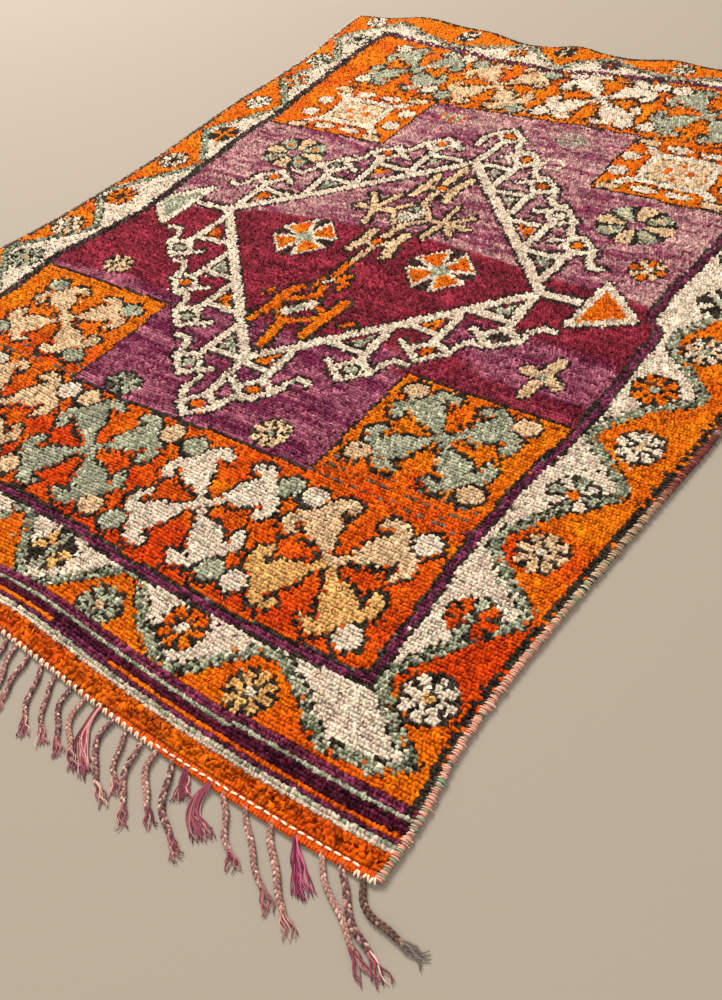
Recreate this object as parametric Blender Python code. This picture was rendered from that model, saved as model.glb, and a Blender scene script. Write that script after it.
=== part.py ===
"""A hand-knotted wool rug lying on a floor: the pile rug itself, its two overcast side edges and the
row of plaited tassels at its near end.

Metres, +Z up, the floor at z = 0. Y runs along the rug, away from the fringe, and X across it.
"""

import math

import bmesh
import bpy
import numpy as np

# The rug's outline as it lies, a little wavy. "Along" and "across" are measured from its middle.
SIDE_EDGES = (
    # along, left edge, right edge
    (-1.080, -0.802, 0.807),
    (-0.980, -0.804, 0.803),
    (-0.870, -0.803, 0.790),
    (-0.750, -0.801, 0.791),
    (-0.600, -0.799, 0.800),
    (-0.450, -0.796, 0.812),
    (-0.320, -0.787, 0.823),
    (-0.180, -0.766, 0.832),
    (-0.050, -0.757, 0.828),
    (0.120, -0.751, 0.808),
    (0.300, -0.758, 0.800),
    (0.480, -0.766, 0.802),
    (0.650, -0.758, 0.806),
    (0.780, -0.760, 0.806),
    (0.920, -0.779, 0.803),
    (1.060, -0.792, 0.800),
)
END_EDGES = (
    # across, near edge, far edge
    (-0.830, -1.062, 1.040),
    (-0.790, -1.070, 1.058),
    (-0.700, -1.074, 1.068),
    (-0.580, -1.069, 1.084),
    (-0.440, -1.064, 1.080),
    (-0.310, -1.068, 1.054),
    (-0.180, -1.072, 1.024),
    (-0.060, -1.066, 1.040),
    (0.080, -1.058, 1.025),
    (0.200, -1.064, 1.038),
    (0.300, -1.072, 1.034),
    (0.420, -1.080, 1.040),
    (0.540, -1.084, 1.046),
    (0.640, -1.083, 1.044),
    (0.740, -1.080, 1.042),
    (0.790, -1.076, 1.038),
    (0.830, -1.064, 1.026),
)
# Places where the far end is lifted off the floor in a low ripple.
FAR_RIPPLES = (
    # across, half width, height
    (-0.560, 0.130, 0.009),
    (-0.330, 0.090, 0.004),
    (-0.060, 0.080, 0.006),
    (0.200, 0.100, 0.005),
    (0.470, 0.130, 0.006),
)
RIPPLE_REACH = 0.130  # how far a ripple runs in from the far edge

PILE_TOP = 0.0130  # cloth and pile together
SIDE_TOP = 0.0095  # the outermost knots lean outward and lie lower
SIDE_FALL = 0.014
HEM_TOP = 0.0065  # the flat folded hem at the near end
HEM_DEPTH = 0.016
HEM_STEP = 0.006  # from the hem up to the full pile
FAR_TOP = 0.0100
FAR_FALL = 0.012
# Low lumps of the pile: two crossed waves of each size, in radians per metre.
LUMPS = (
    # height, first wave's rate across and along, second wave's rate across and along
    (0.0011, 9.1, 2.3, -1.9, 7.4),
    (0.0008, 23.0, -11.0, 8.0, 19.0),
)
# The slab's own steps: distances in from its edges, then even steps between them.
SIDE_STEPS = (0.0, 0.006, SIDE_FALL)
NEAR_STEPS = (0.0, HEM_DEPTH, HEM_DEPTH + HEM_STEP)
FAR_STEPS = (0.0, 0.006, FAR_FALL, 0.040, 0.070, 0.100)
EVEN_STEPS = (38, 44)  # across, along
PLAIN_SIZE = (1.58, 2.13)  # width and length without the waves in the edges

SELVEDGE_WIDTH = 0.0100
SELVEDGE_SECTION = (
    # from the outer edge inward, height
    (0.0012, 0.0000),
    (0.0000, 0.0028),
    (0.0022, 0.0062),
    (0.0066, 0.0070),
    (0.0100, 0.0050),
    (0.0100, 0.0000),
)
GAP = 0.0003

STRIP_DEPTH = 0.0060
STRIP_HEIGHT = 0.0060
STRIP_ENDS = (-0.792, 0.806)
STRAND_ROOT = (0.0090, STRIP_HEIGHT)  # width and height of a tassel at its root
STRAND_BODY = (0.0105, 0.0085)
STRAND_TIP = (0.0065, 0.0040)
STRAND_STEPS = 9
BODY_FROM = 0.20  # fractions of a tassel's length
TIP_FROM = 0.55
TURNED_AT = 0.70  # where it has turned to its tip bearing
TOP_WIDTH = 0.72  # of the width at the floor
# The tassels that lie nearest: where each one starts across the rug, its length, and the way it
# points at its root and at its tip, in degrees from straight out toward +X.
NEAR_TASSELS = (
    # across, length, root bearing, tip bearing
    (0.128, 0.075, 25, 25),
    (0.151, 0.090, 28, 30),
    (0.181, 0.092, 20, 22),
    (0.214, 0.117, 24, 40),
    (0.246, 0.112, 14, 50),
    (0.281, 0.108, 12, 50),
    (0.311, 0.115, 8, 54),
    (0.341, 0.110, 2, 54),
    (0.371, 0.134, 2, 58),
    (0.400, 0.094, 14, 46),
    (0.429, 0.122, 14, 42),
    (0.458, 0.108, 12, 54),
    (0.489, 0.136, 22, 58),
    (0.515, 0.036, 33, 33),
    (0.548, 0.080, -14, 64),
    (0.580, 0.096, 40, 52),
    (0.617, 0.131, 42, 58),
    (0.656, 0.137, 38, 54),
    (0.694, 0.068, 40, 52),
    (0.734, 0.150, 47, 60),
    (0.760, 0.140, 42, 64),
    (0.789, 0.120, 36, 88),
)
# The rest of the row goes on in the same way, as far as the left corner.
ROW_START = -0.772
ROW_PITCH = 0.0336
ROW_COUNT = 27
ROW_LENGTH = (0.068, 0.128)
ROW_BEARING = (14, 48)
ROW_SWAY = 5.0

WOOL_COLOUR = (0.50, 0.10, 0.03)
SELVEDGE_COLOUR = (0.52, 0.27, 0.22)
TASSEL_COLOUR = (0.30, 0.15, 0.17)


def clear_scene():
    for thing in list(bpy.data.objects):
        bpy.data.objects.remove(thing, do_unlink=True)


def wool(name, colour):
    material = bpy.data.materials.new(name)
    material.use_nodes = True
    surface = material.node_tree.nodes["Principled BSDF"]
    surface.inputs["Base Color"].default_value = (*colour, 1.0)
    surface.inputs["Roughness"].default_value = 0.95
    surface.inputs["Metallic"].default_value = 0.0
    return material


def smooth_line(table, column, at):
    """A smooth curve through the rows of a table: the first column against the named one."""
    stations = np.array([row[0] for row in table])
    values = np.array([row[column] for row in table])
    slopes = np.gradient(values, stations)
    at = np.clip(at, stations[0], stations[-1])
    row = np.clip(np.searchsorted(stations, at) - 1, 0, len(stations) - 2)
    span = stations[row + 1] - stations[row]
    t = (at - stations[row]) / span
    from_start = (1 + 2 * t) * (1 - t) ** 2 * values[row] + t * (1 - t) ** 2 * span * slopes[row]
    from_end = t**2 * (3 - 2 * t) * values[row + 1] - t**2 * (1 - t) * span * slopes[row + 1]
    return from_start + from_end


def ease(t):
    t = np.clip(t, 0.0, 1.0)
    return t * t * (3 - 2 * t)


def point_on_rug(across, along, inset):
    """Places of the fractions across and along, between side edges moved in by the inset."""
    nominal = SIDE_EDGES[0][0] + along * (SIDE_EDGES[-1][0] - SIDE_EDGES[0][0])
    left = smooth_line(SIDE_EDGES, 1, nominal) + inset
    right = smooth_line(SIDE_EDGES, 2, nominal) - inset
    x = left + across * (right - left)
    near = smooth_line(END_EDGES, 1, x)
    far = smooth_line(END_EDGES, 2, x)
    return x, near + along * (far - near)


def ripple_lift(x, from_far_edge):
    """How high the ripples hold the rug off the floor, for points this far from the far edge."""
    lift = np.zeros_like(x)
    for centre, half_width, height in FAR_RIPPLES:
        lift += height * ease(1 - np.abs(x - centre) / half_width)
    return lift * ease(1 - from_far_edge / RIPPLE_REACH)


def pile_height(x, y, from_side, from_near, from_far):
    """Height of the pile over the cloth's underside, with its low lumps, hem and worn edges."""
    top = np.full_like(x, PILE_TOP)
    for height, across_1, along_1, across_2, along_2 in LUMPS:
        top += height * np.sin(across_1 * x + along_1 * y) * np.sin(across_2 * x + along_2 * y)
    top = SIDE_TOP + (top - SIDE_TOP) * ease(from_side / SIDE_FALL)
    top = FAR_TOP + (top - FAR_TOP) * ease(from_far / FAR_FALL)
    return HEM_TOP + (top - HEM_TOP) * ease((from_near - HEM_DEPTH) / HEM_STEP)


def stations(first, last, count, span):
    """Fractions of a span: set distances in from both ends, and even steps between them."""
    start = [distance / span for distance in first]
    end = [1 - distance / span for distance in reversed(last)]
    middle = np.linspace(start[-1], end[0], count + 2)[1:-1]
    return np.array([*start, *middle, *end])


ACROSS = stations(SIDE_STEPS, SIDE_STEPS, EVEN_STEPS[0], PLAIN_SIZE[0])
ALONG = stations(NEAR_STEPS, FAR_STEPS, EVEN_STEPS[1], PLAIN_SIZE[1])


def new_object(name, mesh, material):
    thing = bpy.data.objects.new(name, mesh)
    mesh.materials.append(material)
    bpy.context.scene.collection.objects.link(thing)
    return thing


def closed_mesh(name, points, faces, smooth=True):
    mesh = bpy.data.meshes.new(name)
    mesh.from_pydata([tuple(point) for point in points], [], faces)
    shape = bmesh.new()
    shape.from_mesh(mesh)
    bmesh.ops.recalc_face_normals(shape, faces=shape.faces)
    shape.to_mesh(mesh)
    shape.free()
    mesh.validate()
    if smooth:
        mesh.shade_smooth()
    return mesh


def make_rug(material):
    """One slab: the pile's top over a flat underside, which leaves the floor at the ripples."""
    across, along = np.meshgrid(ACROSS, ALONG)
    x, y = point_on_rug(across, along, SELVEDGE_WIDTH + GAP)
    width, length = x[:, -1:] - x[:, :1], y[-1:] - y[:1]
    from_side = np.minimum(across, 1 - across) * width
    underside = ripple_lift(x, (1 - along) * length)
    top = underside + pile_height(x, y, from_side, along * length, (1 - along) * length)
    rows, columns = x.shape
    upper = np.stack([x, y, top], axis=-1).reshape(-1, 3)
    lower = np.stack([x, y, underside], axis=-1).reshape(-1, 3)
    points = np.concatenate([upper, lower])
    below = rows * columns

    def at(row, column):
        return row * columns + column

    faces = []
    for row in range(rows - 1):
        for column in range(columns - 1):
            corners = at(row, column), at(row, column + 1), at(row + 1, column + 1), at(row + 1, column)
            faces.append(corners)
            faces.append(tuple(below + corner for corner in reversed(corners)))
    rim = [at(0, column) for column in range(columns)]
    rim += [at(row, columns - 1) for row in range(1, rows)]
    rim += [at(rows - 1, column) for column in range(columns - 2, -1, -1)]
    rim += [at(row, 0) for row in range(rows - 2, 0, -1)]
    for corner, following in zip(rim, rim[1:] + rim[:1]):
        faces.append((corner, below + corner, below + following, following))
    mesh = closed_mesh("rug", points, faces)
    join_flat_underside(mesh)
    return new_object("rug", mesh, material)


def join_flat_underside(mesh):
    """Makes one face of all that lies flat on the floor."""
    shape = bmesh.new()
    shape.from_mesh(mesh)
    flat = [face for face in shape.faces if max(corner.co.z for corner in face.verts) < 1e-7]
    bmesh.ops.dissolve_faces(shape, faces=flat)
    shape.to_mesh(mesh)
    shape.free()


def make_selvedge(name, side, material):
    """The overcast side edge, 0 for the left and 1 for the right: a low rounded strip."""
    points = []
    for inset, height in SELVEDGE_SECTION:
        fraction = np.full_like(ALONG, side)
        x, y = point_on_rug(fraction, ALONG, inset)
        points.append(np.stack([x, y, np.full_like(x, height)], axis=-1))
    ring = len(points)
    points = np.stack(points, axis=1).reshape(-1, 3)
    faces = []
    for row in range(len(ALONG) - 1):
        for corner in range(ring):
            following = (corner + 1) % ring
            a, b = row * ring + corner, row * ring + following
            faces.append((a, b, b + ring, a + ring))
    last = (len(ALONG) - 1) * ring
    faces.append(tuple(range(ring)))
    faces.append(tuple(last + corner for corner in reversed(range(ring))))
    return new_object(name, closed_mesh(name, points, faces), material)


def tassel_rows():
    """Each tassel's place across, its length and its bearings, from the left corner to the right."""
    spread = np.random.default_rng(7)
    rows = []
    for number in range(ROW_COUNT):
        across = ROW_START + ROW_PITCH * number + spread.uniform(-0.003, 0.003)
        length = spread.uniform(*ROW_LENGTH)
        sway = spread.uniform(-ROW_SWAY, ROW_SWAY)
        rows.append((across, length, ROW_BEARING[0] + sway, ROW_BEARING[1] + sway))
    return rows + list(NEAR_TASSELS)


def tassel_line(start, length, root_bearing, tip_bearing):
    """Points along a tassel that turns evenly from its root bearing to its tip bearing."""
    line = [np.array(start)]
    step = length / STRAND_STEPS
    for number in range(STRAND_STEPS):
        turned = float(ease((number + 0.5) / STRAND_STEPS / TURNED_AT))
        bearing = math.radians(root_bearing + (tip_bearing - root_bearing) * turned)
        line.append(line[-1] + step * np.array([math.sin(bearing), -math.cos(bearing)]))
    return line


def tassel_size(fraction):
    """Width and height of a tassel at this fraction of its length."""
    if fraction < BODY_FROM:
        part, first, last = fraction / BODY_FROM, STRAND_ROOT, STRAND_BODY
    else:
        part, first, last = max(0.0, (fraction - TIP_FROM) / (1 - TIP_FROM)), STRAND_BODY, STRAND_TIP
    return [a + (b - a) * part for a, b in zip(first, last)]


def make_fringe(material):
    """The row of tassels, each a four-sided strand level on the floor, fused to a narrow strip."""
    tassels = tassel_rows()
    half_root = STRAND_ROOT[0] / 2
    cuts = [STRIP_ENDS[0]]
    roots = []
    for across, *_ in tassels:
        roots.append(len(cuts))
        cuts += [across - half_root, across + half_root]
    cuts.append(STRIP_ENDS[1])
    cuts = np.array(cuts)
    edge = smooth_line(END_EDGES, 1, cuts) - GAP
    points = []
    for x, y in zip(cuts, edge):
        points += [(x, y - STRIP_DEPTH, 0.0), (x, y - STRIP_DEPTH, STRIP_HEIGHT)]
        points += [(x, y, STRIP_HEIGHT), (x, y, 0.0)]
    faces = []
    for cut in range(len(cuts) - 1):
        for corner in range(4):
            if corner == 0 and cut in roots:
                continue
            a, b = 4 * cut + corner, 4 * cut + (corner + 1) % 4
            faces.append((a, b, b + 4, a + 4))
    last = 4 * (len(cuts) - 1)
    faces += [(0, 1, 2, 3), (last + 3, last + 2, last + 1, last)]
    for cut, (across, length, root_bearing, tip_bearing) in zip(roots, tassels):
        ring = [4 * cut, 4 * cut + 1, 4 * cut + 5, 4 * cut + 4]
        start = (cuts[cut] + cuts[cut + 1]) / 2, (edge[cut] + edge[cut + 1]) / 2 - STRIP_DEPTH
        line = tassel_line(start, length, root_bearing, tip_bearing)
        for number in range(1, STRAND_STEPS + 1):
            ahead = line[min(number + 1, STRAND_STEPS)] - line[number - 1]
            sideways = np.array([-ahead[1], ahead[0]]) / np.hypot(*ahead)
            width, height = tassel_size(number / STRAND_STEPS)
            foot = sideways * width / 2
            shoulder = foot * TOP_WIDTH
            first = len(points)
            points += [(*(line[number] - foot), 0.0), (*(line[number] - shoulder), height)]
            points += [(*(line[number] + shoulder), height), (*(line[number] + foot), 0.0)]
            new_ring = [first, first + 1, first + 2, first + 3]
            for corner in range(4):
                following = (corner + 1) % 4
                faces.append((ring[corner], new_ring[corner], new_ring[following], ring[following]))
            ring = new_ring
        faces.append(tuple(ring))
    mesh = closed_mesh("fringe_near", points, faces, smooth=False)
    return new_object("fringe_near", mesh, material)


def centre_on_origin(things):
    """Moves the rug so that its box is centred over the origin, with the floor at z = 0."""
    corners = np.array([corner.co for thing in things for corner in thing.data.vertices])
    middle = (corners.min(axis=0) + corners.max(axis=0)) / 2
    for thing in things:
        thing.location = (-middle[0], -middle[1], 0.0)


def main():
    clear_scene()
    edge_wool = wool("selvedge_wool", SELVEDGE_COLOUR)
    things = [
        make_rug(wool("rug_wool", WOOL_COLOUR)),
        make_selvedge("selvedge_left", 0, edge_wool),
        make_selvedge("selvedge_right", 1, edge_wool),
        make_fringe(wool("tassel_wool", TASSEL_COLOUR)),
    ]
    centre_on_origin(things)


main()
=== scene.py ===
import math

import bmesh
import bpy
import numpy as np
from mathutils import Matrix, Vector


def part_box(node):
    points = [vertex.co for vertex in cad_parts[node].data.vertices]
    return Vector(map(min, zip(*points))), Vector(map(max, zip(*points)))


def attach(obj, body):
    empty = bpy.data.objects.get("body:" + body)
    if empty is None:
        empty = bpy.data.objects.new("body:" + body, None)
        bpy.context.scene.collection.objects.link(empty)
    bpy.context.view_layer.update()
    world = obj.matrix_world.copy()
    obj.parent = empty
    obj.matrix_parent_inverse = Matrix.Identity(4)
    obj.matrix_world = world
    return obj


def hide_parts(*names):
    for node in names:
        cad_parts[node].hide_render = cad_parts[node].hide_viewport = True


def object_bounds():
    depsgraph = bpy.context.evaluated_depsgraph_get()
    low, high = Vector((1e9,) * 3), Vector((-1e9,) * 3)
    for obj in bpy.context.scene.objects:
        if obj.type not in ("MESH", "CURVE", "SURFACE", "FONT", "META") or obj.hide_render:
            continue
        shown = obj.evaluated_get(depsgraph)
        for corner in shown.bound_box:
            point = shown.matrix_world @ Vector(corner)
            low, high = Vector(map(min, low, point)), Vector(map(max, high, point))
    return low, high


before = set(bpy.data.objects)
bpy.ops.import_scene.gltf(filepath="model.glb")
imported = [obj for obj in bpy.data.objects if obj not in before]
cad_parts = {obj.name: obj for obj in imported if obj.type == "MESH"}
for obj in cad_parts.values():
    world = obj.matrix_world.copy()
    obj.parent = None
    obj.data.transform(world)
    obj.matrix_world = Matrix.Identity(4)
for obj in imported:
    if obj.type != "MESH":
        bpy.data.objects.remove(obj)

CAD_BOX = [[float(number) for number in corner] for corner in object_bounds()]

# The camera. The rug is seen from standing height beside its near right corner, a little tilted.
# Places here and below are on the rug's own plan: across it, and along it from the tasselled end.
# The middle of the plan lies a little off the middle of the model's box.
LEAST_X_ON_PLAN = -0.80404  # the left edge where it reaches furthest out
GREATEST_Y_ON_PLAN = 1.08539  # the far edge, likewise
SHIFT_X = CAD_BOX[0][0] - LEAST_X_ON_PLAN
SHIFT_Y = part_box("rug")[1][1] - GREATEST_Y_ON_PLAN
EYE_ON_PLAN = (1.24025, -1.44743, 1.14449)
EYE_TURN = math.radians(-43.4505)
EYE_DROP = math.radians(43.6307)
EYE_TILT = math.radians(-10.4699)
PICTURE_SIDE, FOCAL_LENGTH = 36.0, 38.23  # millimetres


def placed(right, above, back, place):
    """The matrix whose columns are the three axes of a thing and its place."""
    return Matrix([*np.stack([right, above, back, place], axis=1).tolist(), [0, 0, 0, 1]])


def look_from(place, turn, drop, tilt):
    """Camera axes: ahead is the turned and dropped sight line, and the level pair is then tilted."""
    ahead = np.array([math.sin(turn), math.cos(turn), 0.0]) * math.cos(drop)
    ahead[2] = -math.sin(drop)
    level = np.array([math.cos(turn), -math.sin(turn), 0.0])
    upright = np.cross(level, ahead)
    right = math.cos(tilt) * level + math.sin(tilt) * upright
    above = -math.sin(tilt) * level + math.cos(tilt) * upright
    return placed(right, above, -ahead, place)


eye = bpy.data.cameras.new("eye")
eye.lens = FOCAL_LENGTH
eye.sensor_width = PICTURE_SIDE
eye.sensor_fit = "AUTO"
viewer = bpy.data.objects.new("viewer", eye)
viewer.matrix_world = look_from(
    (EYE_ON_PLAN[0] + SHIFT_X, EYE_ON_PLAN[1] + SHIFT_Y, EYE_ON_PLAN[2]), EYE_TURN, EYE_DROP, EYE_TILT
)
bpy.context.scene.collection.objects.link(viewer)
bpy.context.scene.camera = viewer

# The ground cloth: wool warps and wefts in a plain weave, which carry the knots. The rug lies flat
# but for low ripples along its far end, and all four edges wander a little, so every row of knots
# follows the ends and every column the sides.
SIDE_EDGES = (
    # along, left edge, right edge
    (-1.080, -0.802, 0.807), (-0.980, -0.804, 0.803), (-0.870, -0.803, 0.790),
    (-0.750, -0.801, 0.791), (-0.600, -0.799, 0.800), (-0.450, -0.796, 0.812),
    (-0.320, -0.787, 0.823), (-0.180, -0.766, 0.832), (-0.050, -0.757, 0.828),
    (0.120, -0.751, 0.808), (0.300, -0.758, 0.800), (0.480, -0.766, 0.802),
    (0.650, -0.758, 0.806), (0.780, -0.760, 0.806), (0.920, -0.779, 0.803),
    (1.060, -0.792, 0.800),
)
END_EDGES = (
    # across, near edge, far edge
    (-0.830, -1.062, 1.040), (-0.790, -1.070, 1.058), (-0.700, -1.074, 1.068),
    (-0.580, -1.069, 1.084), (-0.440, -1.064, 1.080), (-0.310, -1.068, 1.054),
    (-0.180, -1.072, 1.024), (-0.060, -1.066, 1.040), (0.080, -1.058, 1.025),
    (0.200, -1.064, 1.038), (0.300, -1.072, 1.034), (0.420, -1.080, 1.040),
    (0.540, -1.084, 1.046), (0.640, -1.083, 1.044), (0.740, -1.080, 1.042),
    (0.790, -1.076, 1.038), (0.830, -1.064, 1.026),
)
FAR_RIPPLES = (
    # across, half width, height
    (-0.560, 0.130, 0.009), (-0.330, 0.090, 0.004), (-0.060, 0.080, 0.006),
    (0.200, 0.100, 0.005), (0.470, 0.130, 0.006),
)
RIPPLE_REACH = 0.130  # how far in from the far edge the ripples go
SELVEDGE_WIDTH = 0.0103  # with the hair's breadth between it and the knots
CLOTH_STEPS = (60, 80)
CLOTH_TOP, CLOTH_OVERLAP = 0.0026, 0.0004  # its height, and how far it reaches up into the pile
CLOTH_YARN = (168, 140, 108)


def smooth_line(table, column, at):
    """A cubic through the rows of a table, with each row's slope taken from its neighbours."""
    stations = np.array([row[0] for row in table])
    values = np.array([row[column] for row in table])
    slopes = np.gradient(values, stations)
    at = np.clip(at, stations[0], stations[-1])
    row = np.clip(np.searchsorted(stations, at) - 1, 0, len(stations) - 2)
    span = stations[row + 1] - stations[row]
    t = (at - stations[row]) / span
    from_start = (1 + 2 * t) * (1 - t) ** 2 * values[row] + t * (1 - t) ** 2 * span * slopes[row]
    from_end = t**2 * (3 - 2 * t) * values[row + 1] - t**2 * (1 - t) * span * slopes[row + 1]
    return from_start + from_end


def ease(t):
    """3t^2 - 2t^3, held at 0 and 1 beyond its ends."""
    t = np.clip(t, 0.0, 1.0)
    return t * t * (3 - 2 * t)


def side_edges(along, inset):
    """The left and right edges at fractions along the rug, both moved in by the inset."""
    nominal = SIDE_EDGES[0][0] + along * (SIDE_EDGES[-1][0] - SIDE_EDGES[0][0])
    return smooth_line(SIDE_EDGES, 1, nominal) + inset, smooth_line(SIDE_EDGES, 2, nominal) - inset


def point_on_rug(across, along, inset):
    """x runs evenly from the left edge to the right one, and y from the near edge to the far one."""
    left, right = side_edges(along, inset)
    x = left + across * (right - left)
    near = smooth_line(END_EDGES, 1, x)
    far = smooth_line(END_EDGES, 2, x)
    return x, near + along * (far - near)


def ripple_lift(x, from_far_edge):
    """Sum of eased bumps across the rug, fading over the reach in from the far edge."""
    lift = np.zeros_like(x)
    for centre, half_width, height in FAR_RIPPLES:
        lift += height * ease(1 - np.abs(x - centre) / half_width)
    return lift * ease(1 - from_far_edge / RIPPLE_REACH)


def linear(colour):
    """A colour on a 0 to 255 scale, as the light it reflects."""
    part = np.asarray(colour, dtype=float) / 255.0
    return np.where(part <= 0.04045, part / 12.92, ((part + 0.055) / 1.055) ** 2.4)


def grid_faces(index):
    """Quads between the neighbours of a grid of point numbers, facing up."""
    quads = np.stack([index[:-1, :-1], index[:-1, 1:], index[1:, 1:], index[1:, :-1]], axis=-1)
    return quads.reshape(-1, 4)


def put_in_scene(name, points, faces, material):
    """A mesh from points on the plan and a list of face arrays, each with one corner count."""
    mesh = bpy.data.meshes.new(name)
    counts = np.concatenate([np.full(len(block), block.shape[1]) for block in faces])
    corners = np.concatenate([block.ravel() for block in faces])
    starts = np.concatenate([[0], np.cumsum(counts)[:-1]])
    shifted = np.asarray(points, dtype=np.float32).reshape(-1, 3) + np.float32([SHIFT_X, SHIFT_Y, 0])
    mesh.vertices.add(len(shifted))
    mesh.vertices.foreach_set("co", shifted.ravel())
    mesh.loops.add(len(corners))
    mesh.loops.foreach_set("vertex_index", corners.astype(np.int32))
    mesh.polygons.add(len(counts))
    mesh.polygons.foreach_set("loop_start", starts.astype(np.int32))
    mesh.polygons.foreach_set("loop_total", counts.astype(np.int32))
    mesh.update(calc_edges=True)
    mesh.validate()
    mesh.shade_smooth()
    mesh.materials.append(material)
    piece = bpy.data.objects.new(name, mesh)
    bpy.context.scene.collection.objects.link(piece)
    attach(piece, "root")
    return piece


def paint(piece, name, values, domain):
    """Keeps one colour or one number for each face or point of a piece."""
    values = np.asarray(values, dtype=np.float32)
    if values.ndim == 2:
        kept = piece.data.attributes.new(name, "FLOAT_COLOR", domain)
        kept.data.foreach_set("color", np.insert(values, 3, 1.0, axis=1).ravel())
    else:
        kept = piece.data.attributes.new(name, "FLOAT", domain)
        kept.data.foreach_set("value", values)


HAIR_SLANT, HAIR_STRETCH = math.radians(-24.0), (0.34, 1.0, 0.6)
HAIR_SHARE, DYE_SHARE = 0.6, 0.4  # of the mottling
MOTTLE_GAIN, HOLLOW_SHADE_GAMMA = 4.0, 0.30  # how much the mottle lightens, and painted shade: how much deeper and more saturated a hollow's colour is drawn
BATCH_SCALE = 42.0  # dye patches to a metre
HAIR_RELIEF = 0.62


def wool_fibre_group():
    """Colour: yarn^(1 + 0.3 hollow) (1 + 4 mottle (0.6 hairs + 0.4 dye - 0.5)) (1 - shade hollow); both
    hollow terms are painted shade.
    """
    group = bpy.data.node_groups.new("wool_fibre", "ShaderNodeTree")
    sockets = group.interface
    for name, kind, way in (
        ("Yarn", "Color", "INPUT"), ("Hollow", "Float", "INPUT"), ("Hairs per metre", "Float", "INPUT"),
        ("Mottle", "Float", "INPUT"), ("Hollow shade", "Float", "INPUT"),
        ("Colour", "Color", "OUTPUT"), ("Height", "Float", "OUTPUT"),
    ):
        sockets.new_socket(name, in_out=way, socket_type="NodeSocket" + kind)
    nodes, links = group.nodes, group.links
    given = nodes.new("NodeGroupInput").outputs
    result = nodes.new("NodeGroupOutput").inputs
    place = nodes.new("ShaderNodeTexCoord").outputs["Object"]

    def noise(vector, scale, detail, roughness):
        """Cloudy noise at a place, its scale a number or another node's output."""
        node = nodes.new("ShaderNodeTexNoise")
        links.new(vector, node.inputs["Vector"])
        if isinstance(scale, float):
            node.inputs["Scale"].default_value = scale
        else:
            links.new(scale, node.inputs["Scale"])
        node.inputs["Detail"].default_value = detail
        node.inputs["Roughness"].default_value = roughness
        return node.outputs["Fac"]

    def worked(operation, *values):
        """One sum on numbers and other nodes' outputs."""
        node = nodes.new("ShaderNodeMath")
        node.operation = operation
        for socket, value in zip(node.inputs, values):
            if isinstance(value, float):
                socket.default_value = value
            else:
                links.new(value, socket)
        return node.outputs["Value"]

    lean = nodes.new("ShaderNodeMapping")
    lean.inputs["Rotation"].default_value = (0.0, 0.0, HAIR_SLANT)
    lean.inputs["Scale"].default_value = HAIR_STRETCH
    links.new(place, lean.inputs["Vector"])
    hairs = noise(lean.outputs["Vector"], given["Hairs per metre"], 3.0, 0.65)
    dye = worked("MULTIPLY", noise(place, BATCH_SCALE, 2.0, 0.5), DYE_SHARE)
    both = worked("MULTIPLY_ADD", hairs, HAIR_SHARE, dye)
    mottle = worked("MULTIPLY", worked("SUBTRACT", both, 0.5), given["Mottle"])
    # Painted shade: the colour is darkened, and made deeper by the gamma, where the hollow input is
    # high.
    light = worked("SUBTRACT", 1.0, worked("MULTIPLY", given["Hollow"], given["Hollow shade"]))
    whole = worked("MULTIPLY", worked("MULTIPLY_ADD", mottle, MOTTLE_GAIN, 1.0), light)
    hollow_shading = nodes.new("ShaderNodeGamma")
    links.new(given["Yarn"], hollow_shading.inputs["Color"])
    links.new(worked("MULTIPLY_ADD", given["Hollow"], HOLLOW_SHADE_GAMMA, 1.0), hollow_shading.inputs["Gamma"])
    grown = nodes.new("ShaderNodeVectorMath")
    grown.operation = "SCALE"
    links.new(hollow_shading.outputs["Color"], grown.inputs[0])
    links.new(whole, grown.inputs["Scale"])
    links.new(grown.outputs["Vector"], result["Colour"])
    links.new(hairs, result["Height"])
    return group


WOOL_FIBRE = wool_fibre_group()


def wool(name, hairs_per_metre, mottle, hollow_shade, hair_height, sheen):
    """Matt wool whose colour comes from the yarn's own attribute, darkened by painted shade where its
    hollow attribute is high, and whose hairs are a bump.
    """
    material = bpy.data.materials.new(name)
    material.use_nodes = True
    nodes, links = material.node_tree.nodes, material.node_tree.links
    surface = nodes["Principled BSDF"]
    fibre = nodes.new("ShaderNodeGroup")
    fibre.node_tree = WOOL_FIBRE
    for node, socket, value in (
        (surface, "Roughness", 0.92), (surface, "Specular IOR Level", 0.06),
        (surface, "Sheen Weight", sheen), (surface, "Sheen Roughness", 0.45),
        (fibre, "Hairs per metre", hairs_per_metre), (fibre, "Mottle", mottle),
        (fibre, "Hollow shade", hollow_shade),
    ):
        node.inputs[socket].default_value = value
    for attribute, output, socket in (("yarn", "Color", "Yarn"), ("hollow", "Fac", "Hollow")):
        kept = nodes.new("ShaderNodeAttribute")
        kept.attribute_name = attribute
        links.new(kept.outputs[output], fibre.inputs[socket])
    bump = nodes.new("ShaderNodeBump")
    bump.inputs["Strength"].default_value = HAIR_RELIEF
    bump.inputs["Distance"].default_value = hair_height
    links.new(fibre.outputs["Height"], bump.inputs["Height"])
    links.new(fibre.outputs["Colour"], surface.inputs["Base Color"])
    links.new(bump.outputs["Normal"], surface.inputs["Normal"])
    return material


CLOTH_WOOL = wool("cloth_wool", 800.0, 0.35, 0.5, 0.0006, 0.05)


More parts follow.
